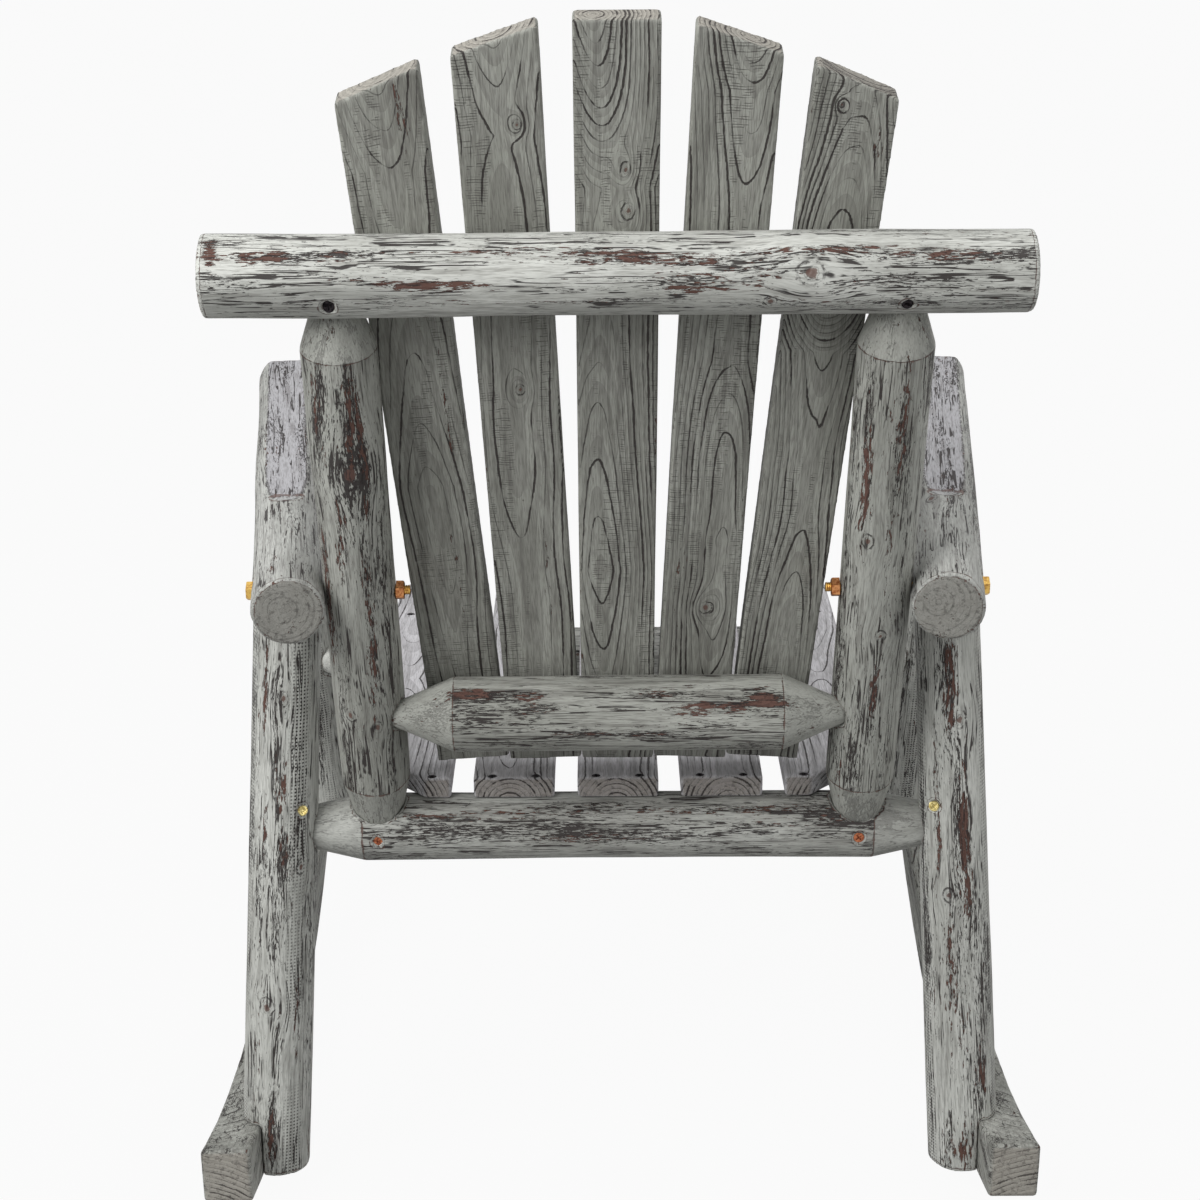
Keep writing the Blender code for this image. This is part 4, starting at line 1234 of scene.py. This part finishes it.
@dataclass
class Back:
    """Posts, rails and fanned slats of the back."""

    foot: Point = (0.1902, 0.1831, 0.3083)
    top: Point = (0.1902, 0.3052, 0.7805)

    def build(self) -> None:
        """Builds and dresses the back."""
        self.rails()
        self.posts()
        self.slats()

    def rails(self) -> None:
        """Top rail and lower rail."""
        Timber("back_top_rail", "log_wood", seed=3, sway=0.0008, **level(TOP_RAIL),
               knots=(Spot(815, 275, 0.020, 0.016), Spot(770, 306, 0.010, 0.008)),
               scars=(Spot(262, 254, 0.050, 0.010), Spot(345, 252, 0.050, 0.008), Spot(520, 247, 0.10, 0.006),
                      Spot(600, 252, 0.12, 0.010), Spot(690, 256, 0.06, 0.008), Spot(745, 278, 0.09, 0.012),
                      Spot(700, 292, 0.05, 0.010), Spot(860, 246, 0.14, 0.007), Spot(950, 250, 0.10, 0.010),
                      Spot(560, 306, 0.12, 0.005), Spot(430, 292, 0.06, 0.007), Spot(206, 252, 0.008, 0.03))).build()
        Timber("back_lower_rail", "log_wood", finish="post_wood", seed=8, sway=0.0008, **level(LOWER_RAIL),
               scars=(Spot(534, 698, 0.030, 0.018), Spot(700, 704, 0.075, 0.010), Spot(765, 692, 0.022, 0.020),
                      Spot(620, 739, 0.08, 0.004), Spot(660, 690, 0.04, 0.008), Spot(470, 690, 0.03, 0.010))).build()

    def posts(self) -> None:
        """Both back posts."""
        for side, seed in ((1.0, 5), (-1.0, 6)):
            name = "left" if side > 0 else "right"
            knots = ((Spot(347, 480, 0.026, 0.020), Spot(347, 718, 0.014, 0.010), Spot(381, 730, 0.012, 0.008))
                     if side > 0 else (Spot(866, 545, 0.014, 0.010), Spot(884, 640, 0.012, 0.009)))
            scars = ((Spot(352, 440, 0.09, 0.010), Spot(372, 640, 0.12, 0.008), Spot(322, 590, 0.14, 0.008),
                      Spot(366, 470, 0.10, 0.008), Spot(312, 420, 0.10, 0.010), Spot(340, 560, 0.06, 0.006))
                     if side > 0 else (Spot(862, 470, 0.12, 0.009), Spot(876, 700, 0.07, 0.007),
                                       Spot(905, 430, 0.10, 0.008), Spot(890, 560, 0.09, 0.005)))
            Timber(f"back_post_{name}", "log_wood", finish="post_wood", seed=seed, knots=knots, scars=scars,
                   start=(side * self.foot[0], *self.foot[1:]), end=(side * self.top[0], *self.top[1:])).build()

    def slats(self) -> None:
        """Five fanned slats, numbered from the picture's right."""
        slats = {
            1: (0.0, 0.0048, ((0.0, 0.014), (0.45, 0.004), (0.59, 0.016), (0.74, 0.024), (0.88, 0.018), (1.0, 0.001)),
                (),
                (Spot(452, 560, 0.14, 0.006), Spot(446, 420, 0.10, 0.005), Spot(398, 120, 0.05, 0.012))),
            2: (-0.004, 0.0046, ((0.0, 0.016), (0.45, 0.014), (0.88, 0.017), (0.94, 0.010), (1.0, 0.001)),
                (Spot(516, 130, 0.008, 0.006), Spot(520, 395, 0.010, 0.007)),
                (Spot(478, 470, 0.12, 0.004), Spot(545, 600, 0.10, 0.004))),
            3: (-0.012, 0.0027, ((0.0, 0.022), (0.30, 0.010), (0.50, 0.018), (0.81, 0.024), (0.93, 0.008), (1.0, 0.0)),
                (Spot(627, 175, 0.012, 0.008), Spot(630, 217, 0.014, 0.010)),
                (Spot(578, 640, 0.18, 0.003), Spot(657, 470, 0.12, 0.003), Spot(657, 110, 0.05, 0.004))),
            4: (0.009, 0.0033, ((0.0, 0.012), (0.35, 0.004), (0.60, 0.014), (0.93, 0.010), (1.0, 0.001)),
                (Spot(707, 612, 0.012, 0.010),),
                (Spot(683, 575, 0.045, 0.007), Spot(676, 640, 0.06, 0.005), Spot(716, 110, 0.05, 0.004))),
            5: (0.004, 0.0021,
                ((0.0, 0.022), (0.50, 0.026), (0.64, 0.024), (0.72, 0.008), (0.80, 0.020), (1.0, 0.026)),
                (Spot(845, 110, 0.005, 0.004),),
                (Spot(812, 280, 0.08, 0.003), Spot(880, 150, 0.03, 0.006)))}
        for index in range(1, 6):
            shift, ring, depths, knots, scars = slats[6 - index]
            Timber(f"back_slat_{index}", "back_slat_wood", seed=20 + index, knots=knots, scars=scars, cut=Cut.SLAT,
                   ring=ring, pitch=0.0016, pith=(0.0, shift), depths=depths).build()


@dataclass
class Seat:
    """Rails and slats of the seat."""

    rail_height: float = 0.3099

    def build(self) -> None:
        """Builds and dresses the seat."""
        Timber("seat_rear_rail", "log_wood", finish="rail_wood", seed=31, **level((0.2545, 0.1846, self.rail_height)),
               scars=(Spot(620, 842, 0.14, 0.006), Spot(480, 812, 0.16, 0.010), Spot(700, 806, 0.20, 0.010),
                      Spot(590, 808, 0.12, 0.010), Spot(820, 818, 0.12, 0.010), Spot(380, 810, 0.08, 0.010))).build()
        Timber("seat_front_rail", "log_wood", seed=32, stray=2, **level((0.2783, -0.1674, self.rail_height))).build()
        for index in range(1, 6):
            Timber(f"seat_slat_{index}", "seat_slat_wood", seed=40 + index, cut=Cut.SLAT, ring=0.0040,
                   pith=(0.0, 0.006 * (index - 3)), stray=1,
                   depths=((0.0, 0.020), (0.30, 0.014), (0.55, 0.022), (0.80, 0.012), (1.0, 0.016))).build()


@dataclass
class Side:
    """Arm, legs and rocker of one side."""

    name: str
    sign: float
    rear_foot: Point = (0.2862, 0.2230, 0.0196)
    rear_top: Point = (0.2525, 0.1734, 0.5260)
    front_foot: Point = (0.2862, -0.2409, 0.0846)
    front_top: Point = (0.2918, -0.1209, 0.5390)
    arm_rear: Point = (0.2380, 0.2821, 0.5330)
    arm_front: Point = (0.3109, -0.2645, 0.5571)
    arm_up: Point = (-0.005769, 0.043236, 0.999048)

    def at(self, place: Point) -> Point:
        """A place of the left side, mirrored for the right."""
        return self.sign * place[0], place[1], place[2]

    def build(self) -> None:
        """Builds and dresses the side."""
        left = self.sign > 0
        knots = ((Spot(281, 703, 0.014, 0.008), Spot(304, 870, 0.014, 0.009), Spot(264, 1010, 0.018, 0.014))
                 if left else (Spot(965, 720, 0.016, 0.012), Spot(948, 900, 0.014, 0.010)))
        scars = ((Spot(281, 800, 0.06, 0.009), Spot(280, 850, 0.06, 0.009), Spot(262, 830, 0.06, 0.005),
                  Spot(262, 690, 0.06, 0.006), Spot(300, 1020, 0.08, 0.006), Spot(268, 1130, 0.05, 0.008))
                 if left else (Spot(950, 690, 0.09, 0.010), Spot(965, 850, 0.10, 0.010), Spot(985, 1080, 0.05, 0.014),
                               Spot(958, 1150, 0.05, 0.026), Spot(935, 800, 0.10, 0.006), Spot(950, 1000, 0.10, 0.008)))
        Timber(f"rear_leg_{self.name}", "log_wood", finish="leg_wood", seed=50 if left else 51, knots=knots,
               scars=scars, start=self.at(self.rear_foot), end=self.at(self.rear_top),
               bands=(33.0, -70.0, 130.0, 200.0) if left else (64.0, -75.0, 160.0)).build()
        Timber(f"front_leg_{self.name}", "log_wood", finish="leg_wood", seed=52 if left else 53, stray=2,
               bands=(10.0, 160.0), start=self.at(self.front_foot), end=self.at(self.front_top)).build()
        Timber(f"arm_{self.name}", "log_wood", finish="arm_wood", seed=54 if left else 55, stray=1,
               pith=(0.004, -0.006), planed=self.at(self.arm_up),
               start=self.at(self.arm_rear), end=self.at(self.arm_front)).build()
        Timber(f"rocker_{self.name}", "rocker_wood", seed=56 if left else 57, cut=Cut.ROCKER, ring=0.0046,
               pith=(0.030 * self.sign, 0.035)).build()


@dataclass(frozen=True)
class Stage:
    """Plain pale floor, soft lamps and a white surround.

    Attributes:
        grey: The floor's own grey.
        glow: Share of plain white in the floor that the camera sees.
        sky: Strength of the even light all round.
    """

    grey: float = 0.25
    glow: float = 0.945
    sky: float = 0.47

    def floor(self) -> None:
        """A wide floor that shows white with a faint shadow."""
        shape = bmesh.new()
        bmesh.ops.create_grid(shape, x_segments=1, y_segments=1, size=12.0)
        mesh = mesh_of(shape, "floor")
        graph = Graph("floor")
        graph.shader.inputs["Base Color"].default_value = (self.grey, self.grey, self.grey, 1.0)
        graph.shader.inputs["Roughness"].default_value = 0.9
        path = graph.add("ShaderNodeLightPath")
        seen = graph.math("MAXIMUM", path.outputs["Is Camera Ray"], path.outputs["Is Glossy Ray"])
        seen = graph.math("MAXIMUM", seen, path.outputs["Is Transmission Ray"])
        glow = graph.add("ShaderNodeEmission")
        glow.inputs["Color"].default_value = (1.0, 1.0, 1.0, 1.0)
        blend = graph.add("ShaderNodeMixShader")
        graph.put(blend.inputs[0], graph.product(seen, self.glow))
        graph.put(blend.inputs[1], graph.shader.outputs[0])
        graph.put(blend.inputs[2], glow.outputs[0])
        graph.put(graph.tree.nodes["Material Output"].inputs["Surface"], blend.outputs[0])
        mesh.materials.append(graph.material)
        floor = placed("floor", mesh)

    def world(self) -> None:
        """Even light all round, white to the camera."""
        world = bpy.data.worlds.new("surround")
        bpy.context.scene.world = world
        world.use_nodes = True
        nodes, links = world.node_tree.nodes, world.node_tree.links
        nodes.clear()
        path = nodes.new("ShaderNodeLightPath")
        seen = nodes.new("ShaderNodeMath")
        seen.operation = "MAXIMUM"
        links.new(path.outputs["Is Camera Ray"], seen.inputs[0])
        links.new(path.outputs["Is Glossy Ray"], seen.inputs[1])
        blend = nodes.new("ShaderNodeMixShader")
        light = nodes.new("ShaderNodeBackground")
        light.inputs["Color"].default_value = (0.98, 0.99, 1.0, 1.0)
        light.inputs["Strength"].default_value = self.sky
        white = nodes.new("ShaderNodeBackground")
        white.inputs["Color"].default_value = (1.0, 1.0, 1.0, 1.0)
        out = nodes.new("ShaderNodeOutputWorld")
        for number, node in enumerate((seen, light, white)):
            links.new(node.outputs[0], blend.inputs[number])
        links.new(blend.outputs[0], out.inputs[0])

    def lamp(self, name: str, place: Point, size: float, power: float) -> None:
        """A soft square lamp that faces the chair.

        Args:
            name: Its name.
            place: Where it stands.
            size: Its side, in metres.
            power: Its power, in watts.
        """
        data = bpy.data.lights.new(name, "AREA")
        data.shape = "SQUARE"
        data.size = size
        data.energy = power
        lamp = placed(name, data)
        aim = Vector((0.0, 0.0, 0.45)) - Vector(place)
        lamp.matrix_world = Matrix.Translation(place) @ aim.to_track_quat("-Z", "Y").to_matrix().to_4x4()

    def build(self) -> None:
        """Floor, surround and lamps."""
        self.floor()
        self.world()
        self.lamp("key", (1.7, 1.6, 2.1), 1.4, 52.0)
        self.lamp("top", (-0.2, 0.6, 3.0), 2.0, 12.0)
        self.lamp("fill", (-1.9, 0.6, 1.4), 2.0, 10.0)
        bpy.context.scene.view_settings.view_transform = "Standard"


FINISHES = {finish.name: finish.material() for finish in (
    WornPaint("log_wood", rgb(210, 211, 205), rgb(188, 189, 183), rgb(126, 124, 118), cracks=1.0),
    WornPaint("post_wood", rgb(178, 179, 172), rgb(154, 155, 148), rgb(92, 89, 84), cracks=1.2, wear=-0.01),
    WornPaint("rail_wood", rgb(188, 189, 183), rgb(162, 162, 156), rgb(84, 82, 79), cracks=1.4, wear=-0.05),
    WornPaint("leg_wood", rgb(206, 207, 201), rgb(184, 185, 179), rgb(116, 114, 109), cracks=1.0, knurls=1.0),
    WornPaint("arm_wood", rgb(190, 191, 186), rgb(166, 167, 162), rgb(104, 99, 97), cracks=1.3,
              end_tone=rgb(140, 138, 131)),
    # Painted shade: the back slats get a darker copy of the grey paint, standing in for the shade on their rear faces,
    # which face down and away from the lamps.
    WornPaint("back_slat_wood", rgb(174, 175, 167), rgb(150, 151, 143), rgb(94, 91, 87), figure=1.0, kerfs=1.0,
              wear=-0.10),
    # Painted light: the seat slats get a lighter copy of the grey paint, making up for the shade that the back casts on
    # the seat.
    WornPaint("seat_slat_wood", rgb(220, 218, 221), rgb(196, 194, 196), rgb(124, 121, 122),
              end_tone=rgb(136, 128, 117), figure=0.95, wear=-0.08),
    WornPaint("rocker_wood", rgb(188, 189, 182), rgb(160, 161, 154), rgb(102, 99, 95), figure=0.85, kerfs=0.8,
              cracks=0.9, wear=-0.03),
    Plate("bolt_zinc", rgb(212, 176, 98), rgb(168, 126, 70)),
    Plate("nut_zinc", rgb(198, 140, 92), rgb(150, 92, 56)),
    Plate("brass_screws", rgb(214, 200, 140), rgb(160, 142, 84)),
    Plate("rail_screws", rgb(176, 110, 78), rgb(110, 62, 46)),
    Plate("dark_screws", rgb(52, 48, 50), rgb(24, 22, 24), 0.45),
)}


def main() -> None:
    """Builds the chair's looks in order."""
    logging.basicConfig(level=logging.INFO, format="%(message)s")
    VIEW.make()
    Stage().build()
    Back().build()
    Seat().build()
    for name, sign in (("left", 1.0), ("right", -1.0)):
        Side(name, sign).build()
    Hardware().build()


if __name__ == "__main__":
    main()
